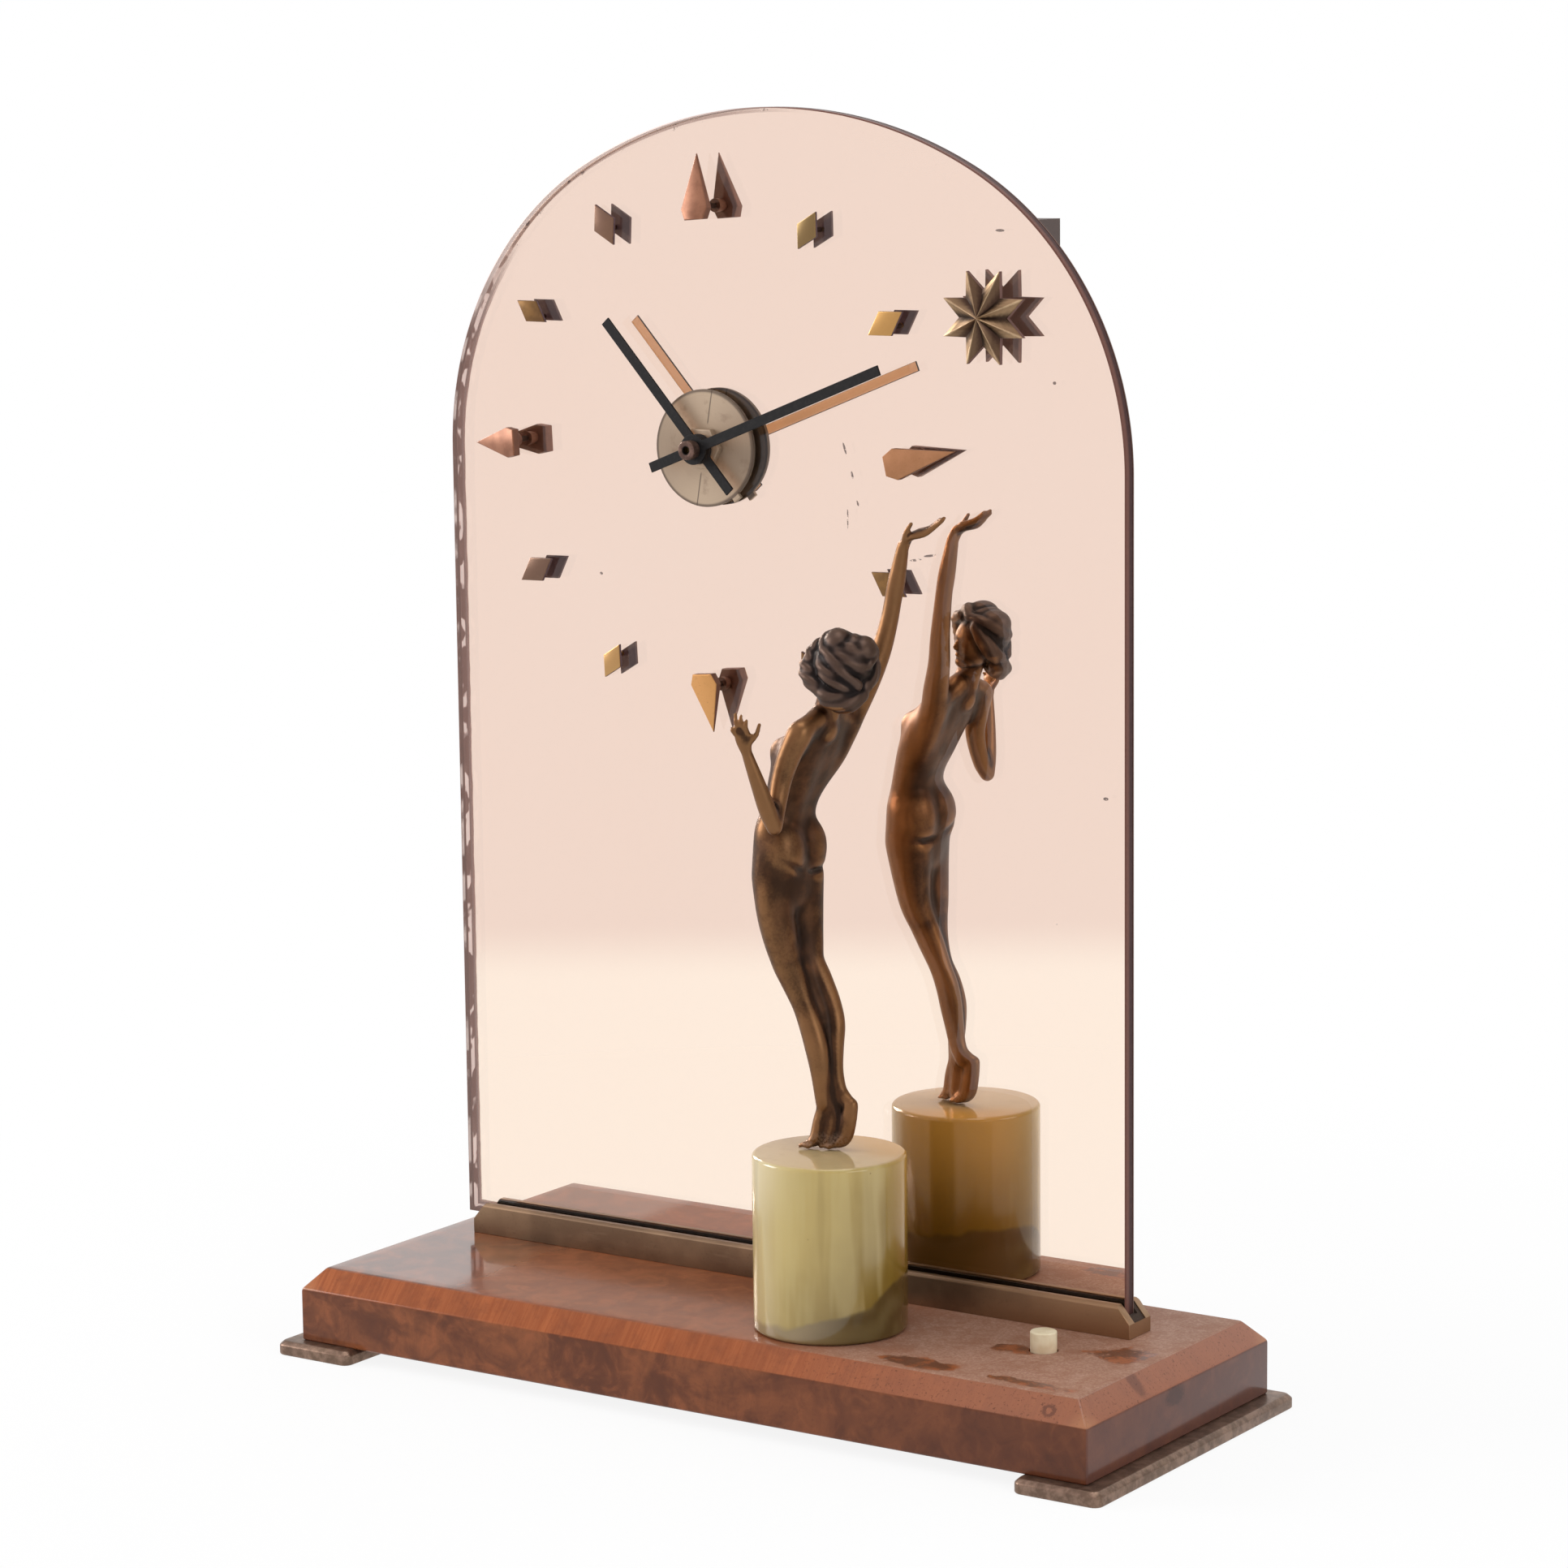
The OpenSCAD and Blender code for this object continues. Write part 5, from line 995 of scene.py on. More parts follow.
def onyx_varies(place):
    """Faint upright veins, an olive zone under a wavy line that rises to the right, painted shade to the right and
    down, painted highlights on the left and in an upright stripe, and painted amber light through the rear.
    """
    x, y, z = axis_of(place, 0) - PLINTH_AT[0], axis_of(place, 1) - PLINTH_AT[1], axis_of(place, 2)
    side = x * VIEW_COS + y * VIEW_SIN
    to_right = side / PLINTH_R
    drift = cloudy(place, 0.06, 3.0, 0.5, 0.4)
    swell = to_right.rise(0.2, 1.0)
    left_rear = ((y * VIEW_SIN - x * VIEW_COS) / PLINTH_R).rise(0.1, 0.9)
    level = BASE_TOP + 7.5 + side * 0.22 + swell * swell * 5 + left_rear * 6 + (drift - 0.5) * 6
    depth = level - z
    veins = cloudy(stretched(place, 0.16, 0.16, 0.02), 1.0, 2.0, 0.5)
    cloud = cloudy(place, 0.05, 3.0)
    # Painted shade: the stone darkens to the right and downwards.
    shade = (side / 42 + (BASE_TOP + 20 - z) / 70 + (cloud - 0.5) * 0.5).rise(-0.45, 0.5)
    stone = mixed(shade, ink(190, 166, 101), ink(124, 100, 40))
    # Painted highlights: the left side is lighter, and lightest high up on the left.
    stone = mixed(to_right.rise(-0.55, -0.95) * 0.6, stone, ink(190, 172, 132))
    stone = mixed(to_right.rise(-0.3, -0.9) * z.rise(BASE_TOP + 28, PLINTH_TOP) * 0.6, stone, ink(222, 205, 164))
    stone = mixed(veins.rise(0.5, 0.66) * 0.28, stone, ink(204, 186, 130))
    stone = mixed(veins.rise(0.46, 0.34) * 0.25, stone, ink(140, 116, 52))
    # Painted highlight: an upright lighter stripe right of the middle.
    stripe = (1 - abs(side - 11).rise(1.6, 3.0)) * z.rise(BASE_TOP + 12, BASE_TOP + 26)
    stone = mixed(stripe * 0.3, stone, ink(194, 176, 128))
    zone = mixed(to_right.rise(-0.6, 0.4), ink(154, 134, 98), ink(88, 70, 34))
    zone = mixed(((depth * 0.7 + drift * 6).math("SINE") * 0.5 + 0.5) * 0.4, zone, ink(128, 112, 72))
    stone = mixed(depth.rise(-0.6, 1.0), stone, zone)
    stone = mixed(z.rise(PLINTH_TOP - 0.3, PLINTH_TOP - 0.05) * 0.6, stone, ink(208, 182, 146))
    # Painted light: the rear is mixed towards amber and glows, standing in for light through the stone.
    rear = ((x * VIEW_SIN + y * VIEW_COS) / PLINTH_R).rise(0.1, 0.75)
    rear = rear * (1 - (x * VIEW_COS - y * VIEW_SIN).rise(6, 20) * 0.75)
    amber = mixed(z.rise(BASE_TOP + 12, PLINTH_TOP), ink(128, 92, 18), ink(176, 134, 64))
    stone = mixed(rear * 0.9, stone, mixed(depth.rise(-0.4, 0.9), amber, ink(82, 55, 26)))
    stone = mixed((1 - cells(place, 0.14).rise(0.02, 0.045)) * 0.5, stone, ink(110, 86, 48))
    glow = mixed(rear * (0.15 + 0.85 * z.rise(BASE_TOP + 14, PLINTH_TOP + 6)), (0, 0, 0, 1), (0.13, 0.068, 0.012, 1))
    return {"Base Color": stone, "Roughness": 0.1 + 0.08 * cloud, "Emission Color": glow}


ONYX = finish("green_onyx", {"IOR": 1.5, "Subsurface Weight": 0.12, "Subsurface Radius": (1.0, 0.8, 0.4),
                             "Subsurface Scale": 0.004, "Coat Weight": 0.15, "Coat Roughness": 0.05,
                             "Emission Strength": 1.0}, onyx_varies)
piece("onyx_column", plinth, [ONYX], "clock", ["onyx_plinth"], crease=40)
stud = Shell()
STUD_R, STUD_FOOT = 1.5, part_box("statuette_stud")[0][2] / MM
stud_rows = eased([(TIP_R, STUD_FOOT), (STUD_R, STUD_FOOT), (STUD_R, STUD_HOLE_TOP - 1),
                   (TIP_R, STUD_HOLE_TOP - 1)], 0.3)
stud.solid((0, 1), rings(stud, PLINTH_AT, stud_rows))
piece("figure_stud", stud, [STEEL], "clock", ["statuette_stud"])
paint_node("stud_nut", STEEL)

# Dancer: a slim figure cast in bronze in one piece and patinated brown, on tiptoe on the plinth, with one arm
# raised and the other bent. Rubbed high spots show golden, the hair is darker and chased in waves.
FIGURE_AT = np.array([PLINTH_AT[0], PLINTH_AT[1], PLINTH_TOP])
TRUNK_CELL, TRUNK_PASSES = 0.6, 55
LIMB_CELL, LIMB_PASSES = 0.5, 9
FINE_CELL, FINE_PASSES = 0.42, 2


def smooth_path(knots, count):
    """A path through knots: each span is a cubic whose end slopes are half of the step between the neighbours."""
    knots = np.array(knots, float)
    t = np.linspace(0, len(knots) - 1, count)
    i = np.minimum(t.astype(int), len(knots) - 2)
    f = (t - i)[:, None]
    slope = np.gradient(knots, axis=0)
    return ((1 + 2 * f) * (1 - f) ** 2 * knots[i] + f * (1 - f) ** 2 * slope[i]
            + f * f * (3 - 2 * f) * knots[i + 1] + f * f * (f - 1) * slope[i + 1])


def unit(rows):
    """Rows divided by their lengths."""
    rows = np.asarray(rows, float)
    return rows / np.linalg.norm(rows, axis=-1, keepdims=True)


def limb(shell, knots, across=(0, 1, 0), rows=36, around=28, shape=None):
    """Ovals carried along a smooth path with rounded ends. A knot is x, y, z, half-width and half-depth."""
    run = smooth_path(knots, rows)
    spot, half = run[:, :3], run[:, 3:]
    along = unit(np.gradient(spot, axis=0))
    lift = np.radians([85, 65, 45, 25])
    r = half.min(1)
    first = spot[0] - along[0] * r[0] * np.sin(lift)[:, None]
    last = spot[-1] + along[-1] * r[-1] * np.sin(lift[::-1])[:, None]
    spot = np.vstack([first, spot, last])
    half = np.vstack([half[0] * np.cos(lift)[:, None], half, half[-1] * np.cos(lift[::-1])[:, None]])
    along = np.vstack([np.repeat(along[:1], 4, 0), along, np.repeat(along[-1:], 4, 0)])
    side = unit(np.array(across) - (along @ np.array(across, float))[:, None] * along)
    front = np.cross(along, side)
    turn = np.linspace(0, 2 * np.pi, around, endpoint=False)
    swell = np.ones((len(spot), around)) if shape is None else shape(np.linspace(0, 1, len(spot))[:, None], turn[None])
    skin = (spot[:, None] + (half[:, :1] * np.cos(turn) * swell)[..., None] * side[:, None]
            + (half[:, 1:] * np.sin(turn) * swell)[..., None] * front[:, None])
    shell.tube(skin)


def ball(shell, centre, radii, axes=np.eye(3), wave=None):
    """An ovoid about three axes; wave swells it as a function of the height angle and the turn."""
    height = np.radians(np.linspace(-86, 86, 30))[:, None]
    turn = np.linspace(0, 2 * np.pi, 40, endpoint=False)[None]
    swell = 1 if wave is None else wave(height, turn)
    local = np.stack([radii[0] * np.cos(height) * np.cos(turn) * swell,
                      radii[1] * np.cos(height) * np.sin(turn) * swell,
                      radii[2] * np.sin(height) * np.ones_like(turn) * swell], -1)
    shell.tube(local @ np.asarray(axes) + np.asarray(centre))


def fused(shell, voxel, passes):
    """All the closed parts melted into one skin of small cells, then relaxed this many times."""
    cast = placed("cast", outward_mesh("cast", shell.points, shell.faces))
    melt = cast.modifiers.new("melt", "REMESH")
    melt.mode, melt.voxel_size = "VOXEL", voxel
    relax = cast.modifiers.new("relax", "SMOOTH")
    relax.factor, relax.iterations = 0.5, passes
    done = bpy.data.meshes.new_from_object(cast.evaluated_get(bpy.context.evaluated_depsgraph_get()))
    bpy.data.objects.remove(cast)
    points, corners = np.empty(len(done.vertices) * 3), np.empty(len(done.loops), int)
    done.vertices.foreach_get("co", points)
    done.loops.foreach_get("vertex_index", corners)
    skin = Shell()
    skin.loop(points.reshape(-1, 3))
    skin.add(corners.reshape(-1, 4).tolist())
    return skin


def spine_groove(run, turn):
    """A shallow furrow down the middle of the back, deepest at the waist."""
    back = np.cos(turn + np.pi / 2)
    return 1 - 0.16 * np.exp(-((1 - back) / 0.035)) * np.exp(-((run - 0.62) / 0.25) ** 2)


figure = Shell()
limb(figure, [(-14.4, 1.9, 71, 11.2, 6.8), (-14.6, 1.9, 75, 11.9, 7.3), (-14.5, 1.9, 79, 11.8, 7.3),
              (-14.5, 2.0, 83, 11.5, 7.1), (-14.4, 1.9, 87, 11.2, 6.7), (-13.9, 2.6, 91, 9.6, 6.0),
              (-12.6, 2.9, 96, 9.5, 6.2), (-10.6, 2.9, 101, 10.7, 6.7), (-8.0, 2.5, 106.5, 11.6, 6.6),
              (-4.8, 1.8, 111.5, 12.0, 5.8), (-2.0, 1.0, 116, 11.4, 4.3), (0.2, 0.3, 119.5, 7.2, 3.6)],
     rows=70, around=56, shape=spine_groove)
for buttock_y in (-3.2, 7.2):
    ball(figure, (-11.8, buttock_y, 81.5), (6.0, 7.0, 9.0))
for breast in ((-11.8, -2.0, 108.4), (-11.8, 7.0, 107.6)):
    ball(figure, breast, (4.2, 4.4, 4.6))
limb(figure, [(-14.4, -3.4, 75, 6.8, 6.4), (-13.8, -4.2, 65, 6.0, 4.9), (-12.7, -3.4, 57, 4.9, 4.6),
              (-11.7, -2.2, 51, 4.2, 4.2)], rows=30)
limb(figure, [(-13.8, 7.6, 75, 6.6, 7.0), (-12.7, 7.9, 65, 5.9, 5.4), (-11.5, 7.7, 57, 4.8, 4.5),
              (-9.8, 6.2, 51, 4.1, 4.1)], rows=30)
limb(figure, [(-13.4, 2.2, 70, 3.2, 3.6), (-12.8, 2.3, 60, 2.9, 3.2), (-10.8, 2.0, 51, 2.8, 2.8)], rows=20)
limb(figure, [(-1.6, 12.6, 114.5, 4.0, 4.0), (-5.0, 11.0, 107, 4.2, 4.0), (-9.0, 9.0, 100, 3.6, 3.6),
              (-12, 6.8, 94, 3.2, 3.2)])
for shoulder_y in (-10.4, 11.4):
    limb(figure, [(0.8, 0, 120, 2.8, 2.6), (0.2, shoulder_y * 0.5, 118.2, 3.0, 2.8), (-0.8, shoulder_y, 116, 3.4, 3.2)],
         across=(1, 0, 0))
limb(figure, [(-1.9, 12.2, 113.5, 4.1, 4.1), (-0.2, 14.4, 118.6, 3.8, 3.8), (3.0, 17.6, 127, 3.2, 3.3)],
     across=(1, 0, 0))
limb(figure, [(-0.8, -10.6, 115.6, 3.8, 3.8), (-3.0, -12.2, 110, 3.4, 3.5), (-4.8, -13.8, 103, 2.9, 3.0)],
     across=(1, 0, 0))
figure = fused(figure, TRUNK_CELL, TRUNK_PASSES)
limb(figure, [(-0.8, 0.2, 115, 4.6, 4.0), (0.8, -0.2, 121, 3.3, 3.4), (2.6, -0.4, 126, 3.2, 3.4),
              (4.4, -0.4, 131, 3.2, 3.4)])
limb(figure, [(-1.9, 12.2, 113.5, 3.6, 3.6), (-0.2, 14.4, 118.6, 3.6, 3.6), (3.0, 17.6, 127, 3.1, 3.2),
              (5.0, 20.2, 134.5, 2.8, 2.9), (6.6, 21.6, 142, 2.5, 2.6), (7.6, 22.1, 147.5, 2.4, 2.4),
              (8.7, 22.3, 153, 2.4, 2.5), (10.2, 22.4, 160, 1.9, 2.0), (10.8, 22.4, 163, 1.6, 1.8)],
     across=(1, 0, 0), rows=50)
limb(figure, [(-0.8, -10.6, 115, 3.3, 3.3), (-3.0, -12.2, 110, 3.2, 3.3), (-4.8, -13.8, 103, 2.8, 2.9),
              (-4.7, -16.6, 95, 2.4, 2.5), (-3.9, -18.7, 91, 2.2, 2.2)], across=(1, 0, 0))
limb(figure, [(-3.9, -18.7, 91, 2.2, 2.2), (-4.8, -20.6, 96, 2.4, 2.5), (-6.0, -23, 103, 2.1, 2.1),
              (-7.4, -25.4, 110.5, 1.6, 1.6), (-7.8, -26, 112.8, 1.5, 1.5)], across=(1, 0, 0))
limb(figure, [(-12.7, -3.4, 57, 4.6, 4.3), (-11.7, -2.2, 51, 4.0, 4.0), (-10.1, -0.7, 45.5, 3.5, 3.7),
              (-7.8, 0.0, 39.5, 3.0, 3.2), (-5.3, -0.3, 34, 3.1, 3.3), (-3.5, -0.3, 28, 3.0, 3.3),
              (-2.8, 0.1, 22, 2.5, 2.8), (-2.7, 0.7, 17, 2.2, 2.4), (-2.5, 1.2, 12.5, 2.0, 2.2)], rows=60)
limb(figure, [(-11.5, 7.7, 57, 4.5, 4.2), (-9.8, 6.2, 51, 3.9, 3.9), (-6.9, 6.4, 45.5, 3.5, 3.7),
              (-3.9, 6.7, 39.5, 3.1, 3.2), (-2.2, 6.0, 34, 3.0, 3.4), (-1.7, 4.7, 28, 2.9, 3.3),
              (-1.0, 4.1, 22, 2.5, 2.8), (0.1, 4.2, 17, 2.2, 2.5), (2.0, 4.2, 13, 2.0, 2.3)], rows=60)
limb(figure, [(-10.8, 2.0, 52, 2.6, 2.6), (-8.4, 2.8, 46, 2.6, 2.5), (-5.8, 3.3, 39.5, 2.6, 2.4),
              (-3.8, 2.8, 34, 2.3, 2.2), (-2.7, 2.2, 28, 2.0, 2.0), (-2.0, 2.1, 22, 1.8, 1.8),
              (-1.4, 2.5, 14, 1.7, 1.9), (-0.8, 2.4, 7, 2.2, 2.6), (-1.5, 2.2, 2.4, 2.4, 2.2)], rows=50)
limb(figure, [(-2.2, 1.7, 12.8, 1.9, 2.0), (-3.6, 1.4, 7.8, 2.0, 2.2), (-4.6, 1.0, 3.3, 2.3, 2.0),
              (-6.5, 0.6, 1.5, 2.3, 1.3)], rows=24)
limb(figure, [(0.8, 4.5, 15.5, 2.0, 2.2), (3.2, 4.0, 13.6, 1.9, 2.0), (4.9, 3.7, 12.6, 1.8, 1.8)], rows=16)
limb(figure, [(4.9, 3.7, 12.8, 1.9, 2.0), (3.7, 3.5, 8, 2.0, 2.7), (2.4, 3.2, 3.5, 2.3, 2.5),
              (-0.6, 2.8, 1.6, 2.4, 1.4)], rows=24)
figure = fused(figure, LIMB_CELL, LIMB_PASSES)


def seat_folds(points):
    """How far two folds under the seat press the back in: bells over height and width, only behind the middle."""
    x, y, z = points.T
    fold = np.exp(-((z - 75.4 - 0.02 * (y - 7) ** 2) / 1.0) ** 2)
    width = np.maximum(np.exp(-((y - 7.5) / 4.0) ** 2), 0.45 * np.exp(-((y + 3.4) / 3.6) ** 2))
    return 1.3 * fold * width * np.clip((x + 12) / 3, 0, 1)


figure.points[:, 0] -= seat_folds(figure.points)

FACE_WAY = unit([-0.5, 0.86, -0.06])
HEAD_LEAN = np.array([0.26, 0.16, 1.0])
HEAD_UP = unit(HEAD_LEAN - np.dot(HEAD_LEAN, FACE_WAY) * FACE_WAY)
HEAD_SIDE = np.cross(HEAD_UP, FACE_WAY)
HEAD_AXES = np.stack([FACE_WAY, HEAD_SIDE, HEAD_UP])
HEAD_AT, HEAD_SIZE = np.array([6.6, 0.9, 133.8]), 0.95


def on_head(rows):
    """Rows of forward, sideways, up and any half-sizes, with the place scaled and turned onto the head."""
    rows = np.array(rows, float)
    return np.hstack([HEAD_AT + HEAD_SIZE * rows[..., :3] @ HEAD_AXES, rows[..., 3:]])


def head_ball(place, radii, wave=None):
    """A ball on the head, along its own axes."""
    ball(figure, on_head(place), radii, HEAD_AXES, wave)


def finger(knots, thick):
    """A finger that tapers to its tip through the given joints."""
    sizes = thick * np.linspace(1, 0.6, len(knots))
    limb(figure, np.column_stack([knots, sizes, sizes]), across=(0.3, 0.5, 0.8), rows=16, around=12)


def open_hand(palm, across, root, row_way, tips, bend, thick, thumb, thumb_thick):
    """A flat palm, four fingers from a row of roots, each bent between its root and its tip, and a thumb."""
    limb(figure, palm, across=across, rows=16, around=20)
    for spread, tip in tips:
        start = np.array(root) + np.array(row_way) * spread
        finger([start, (start + tip) / 2 + bend, tip], thick)
    finger(thumb, thumb_thick)


head_ball((2.2, 0, -2.0), (5.6, 5.6, 7.2))
head_ball((4.0, 0, -5.4), (3.5, 3.8, 4.2))
limb(figure, on_head([(7.4, 0, -0.9, 0.5, 0.6), (8.4, 0, -3.0, 0.7, 0.8), (8.0, 0, -3.7, 0.9, 0.6)]),
     across=HEAD_SIDE, rows=12, around=14)
limb(figure, on_head([(6.4, -3.2, -0.2, 0.6, 0.6), (7.4, 0, 0.1, 0.7, 0.7), (6.4, 3.2, -0.2, 0.6, 0.6)]),
     across=HEAD_UP, rows=14, around=12)
for eye_side in (-2.1, 2.1):
    head_ball((6.3, eye_side, -1.5), (1.0, 1.3, 0.9))
limb(figure, on_head([(6.8, -1.3, -5.8, 0.4, 0.45), (7.6, 0, -5.7, 0.6, 0.7), (6.8, 1.3, -5.8, 0.4, 0.45)]),
     across=HEAD_UP, rows=10, around=12)
head_ball((6.2, 0, -8.2), (1.6, 2.0, 1.5))
limb(figure, [(0.6, -0.2, 119, 3.3, 3.4), (2.2, -0.2, 123.5, 3.1, 3.3), (4.4, 0.3, 128, 3.1, 3.3),
              (6.0, 0.6, 132, 3.0, 3.2)], rows=20)

RAISED_ROW, BENT_ROW = (0, 0.94, 0.34), (0.93, 0.37, 0)
open_hand([(10.7, 22.4, 162.0, 1.7, 1.6), (12.4, 22.5, 164.8, 2.2, 1.2), (15.4, 22.7, 166.2, 2.3, 1.0)],
          RAISED_ROW, (14.6, 22.7, 166.0), RAISED_ROW,
          [(-1.6, (20.8, 22.3, 168.0)), (-0.5, (23.0, 22.8, 169.9)), (0.5, (23.2, 23.4, 170.6)),
           (1.5, (21.8, 24.0, 170.2))],
          (0.4, 0, -0.5), 0.95, [(12.0, 21.2, 164.0), (13.0, 20.6, 166.6), (14.6, 20.6, 169.0)], 0.95)
open_hand([(-7.8, -25.9, 112.4, 1.6, 1.5), (-8.0, -26.6, 115.0, 2.2, 1.2), (-8.1, -27.2, 117.2, 2.2, 1.1)],
          (1, 0.4, 0), (-8.1, -27.1, 116.8), BENT_ROW,
          [(-1.7, (-10.6, -28.0, 118.4)), (-0.6, (-9.4, -28.2, 122.2)), (0.5, (-7.6, -28.2, 121.8)),
           (1.5, (-6.0, -28.0, 120.6))],
          (0, -0.7, 0.2), 0.8, [(-6.6, -25.8, 114.6), (-4.8, -25.4, 116.6), (-3.6, -25.6, 119.4)], 0.9)
for toe_x, toe_y in ((-5.9, 0.5), (-0.6, 2.8)):
    for toe in range(5):
        root = np.array([toe_x + 0.2 * toe, toe_y - 1.9 + 0.9 * toe, 1.25])
        finger([root, root + (-1.4, -0.1, 0.1), root + (-2.6, -0.2, -0.35)], 0.85 if toe else 1.0)


def hair_waves(height, turn):
    """Combed waves that run round the head and bend as they go down, with a parting from front to back."""
    wave = 0.03 * np.sin(11 * height + 2.6 * np.sin(turn * 2 + 0.6)) + 0.02 * np.sin(26 * height + 4 * np.sin(turn + 1))
    parting = np.exp(-((np.cos(height) * np.sin(turn) - 0.22) / 0.1) ** 2) * (np.sin(height) > 0) * np.sin(height) ** 2
    return 1 + wave * np.cos(height) - 0.13 * parting


def lock(twist, *knots):
    """A roll of hair with grooves that wind along it."""
    limb(figure, on_head(knots), across=HEAD_UP, rows=40, around=30,
         shape=lambda run, turn: 1 + twist * np.sin(5 * turn + 18 * run) * np.sin(np.pi * run))


head_ball((-1.2, 0, 0.6), (7.3, 7.3, 7.3), hair_waves)
lock(0.1, (4.6, 4.6, 4.6, 1.6, 1.7), (3.4, 8.0, 2.0, 2.2, 2.3), (1.6, 9.2, -1.2, 2.5, 2.6),
     (-0.4, 8.6, -4.0, 2.4, 2.5), (-2.8, 6.0, -5.8, 2.0, 2.2))
lock(0.1, (4.6, -4.0, 4.2, 1.6, 1.7), (3.4, -6.8, 1.2, 2.1, 2.2), (0.8, -7.4, -2.2, 2.3, 2.4),
     (-2.4, -6.4, -5.2, 2.2, 2.4))
lock(0.07, (4.9, -0.6, 6.0, 1.2, 1.2), (3.0, 4.4, 6.4, 1.7, 1.7), (-0.6, 7.2, 4.2, 1.7, 1.7),
     (-4.4, 6.8, 1.4, 1.4, 1.4))
lock(0.07, (4.9, 0.6, 6.0, 1.2, 1.2), (3.0, -4.4, 6.0, 1.6, 1.6), (-0.6, -6.6, 4.2, 1.6, 1.6),
     (-4.4, -6.2, 1.6, 1.3, 1.3))
lock(0.09, (-3.4, 4.6, -8.0, 2.6, 2.6), (-5.4, 1.2, -10.2, 3.4, 3.2), (-5.2, -3.0, -10.2, 3.4, 3.3),
     (-3.0, -6.0, -7.6, 2.6, 2.8))
lock(0.12, (-1.0, 7.6, -0.6, 1.8, 1.6), (-5.8, 5.0, -3.4, 2.3, 2.0), (-7.0, 0.2, -6.2, 2.5, 2.2),
     (-4.6, -4.8, -8.6, 2.0, 1.9))
lock(0.1, (0.6, 8.0, 2.4, 1.3, 1.1), (-5.6, 5.8, 1.0, 1.7, 1.3), (-8.2, 0.6, -2.4, 1.7, 1.3),
     (-6.2, -5.2, -5.2, 1.5, 1.2))
lock(0.12, (2.6, 8.6, -1.0, 2.0, 1.9), (0.6, 9.6, -4.2, 2.9, 2.7), (-2.0, 8.2, -7.0, 2.7, 2.6),
     (-4.4, 4.6, -9.4, 2.2, 2.2))
for hump_side in (3.7, -3.5):
    head_ball((-1.6, hump_side, 4.0), (5.2, 4.0, 4.3))

figure = fused(figure, FINE_CELL, FINE_PASSES)
figure.points[:, 2] = np.maximum(figure.points[:, 2], 0.03)
quads = np.array(figure.faces)
edges = np.vstack([quads[:, [k, (k + 1) % 4]] for k in range(4)])
neighbour_count = np.bincount(edges.ravel(), minlength=len(figure.points))


def neighbour_mean(values):
    """For each corner of the figure, the mean of the values at the far ends of its edges."""
    total = np.zeros_like(values)
    np.add.at(total, edges[:, 0], values[edges[:, 1]])
    np.add.at(total, edges[:, 1], values[edges[:, 0]])
    return (total.T / neighbour_count).T


RUB_PASSES = 12
corner_points = figure.points[quads]
face_normal = np.cross(corner_points[:, 2] - corner_points[:, 0], corner_points[:, 3] - corner_points[:, 1])
point_normal = np.zeros_like(figure.points)
np.add.at(point_normal, quads.ravel(), np.repeat(face_normal, 4, axis=0))
high_spot = ((figure.points - neighbour_mean(figure.points)) * unit(point_normal)).sum(1)
for _ in range(RUB_PASSES):
    high_spot = 0.5 * high_spot + 0.5 * neighbour_mean(high_spot)
rubbed = np.clip(0.5 + high_spot / (3 * high_spot.std()), 0, 1)
from_head = (figure.points - HEAD_AT) @ HEAD_AXES.T
forward, above = from_head[:, 0], from_head[:, 2]
in_hair = (np.linalg.norm(from_head + [1.4, 0, 1.6], axis=1) < 12.4) & (above > -12.6)
nape = np.clip((-forward - 0.6 + 0.4 * (above + 6.0)) / 1.5, 0, 1)
hairline = np.clip((4.4 - forward + 0.5 * above) / 1.2, 0, 1)
hairiness = in_hair * hairline * np.maximum(nape, above > -3)
near_head = np.clip((14 - np.linalg.norm(from_head, axis=1)) / 3, 0, 1)
GLASS_WAY = (-0.5, 0.86, 0)
figure.points = figure.points + FIGURE_AT


def patina_varies(place):
    """Brown patina, golden where rubbed on high spots, nearly black in the hollows and grey-brown in the hair; faces
    turned to the glass are mixed warmer and glow, painted light.
    """
    rub, hair_here = vertex_mark("rubbed"), vertex_mark("hair")
    blotch = cloudy(place, 0.12, 5.0, 0.6)
    fine = cloudy(place, 1.4, 4.0, 0.65)
    colour = mixed(blotch.rise(0.35, 0.68), ink(56, 36, 23), ink(88, 58, 37))
    colour = mixed(((rub + (fine - 0.5) * 0.25).rise(0.6, 0.95)) * 0.6, colour, ink(150, 108, 70))
    colour = mixed((rub + (fine - 0.5) * 0.2).rise(0.46, 0.14) * 0.8, colour, ink(34, 23, 17))
    # Painted light: faces turned to the glass are mixed warmer and glow, less on the head, for light the mirror throws
    # back onto the figure.
    facing_glass = Wire.node("VectorMath", {"operation": "DOT_PRODUCT"},
                             {0: Wire.node("TexCoord", None, None, "Normal"), 1: GLASS_WAY}, "Value")
    toward_glass = facing_glass.rise(0.1, 0.85) * (1 - 0.8 * vertex_mark("head"))
    colour = mixed(toward_glass * 0.5, colour, ink(150, 98, 58))
    polished = (axis_of(place, 2) - PLINTH_TOP).rise(6, 2) * fine.rise(0.35, 0.6)
    colour = mixed(polished * 0.45, colour, ink(164, 138, 120))
    colour = mixed(hair_here * 0.85, colour, mixed(rub.rise(0.35, 0.8), ink(24, 20, 20), ink(76, 63, 58)))
    glow = mixed(toward_glass * (1 - hair_here), (0, 0, 0, 1), (0.028, 0.012, 0.003, 1))
    return {"Base Color": colour, "Emission Color": glow, "Roughness": 0.33 + 0.16 * fine + hair_here * 0.08,
            "Normal": dented(fine, 0.15, 0.08)}


BRONZE = finish("patinated_bronze", {"Metallic": 0.85, "Emission Strength": 1.0}, patina_varies)
piece("dancer", figure, [BRONZE], "clock", ["statuette"], crease=80,
      marks={"rubbed": rubbed, "hair": hairiness, "head": near_head})

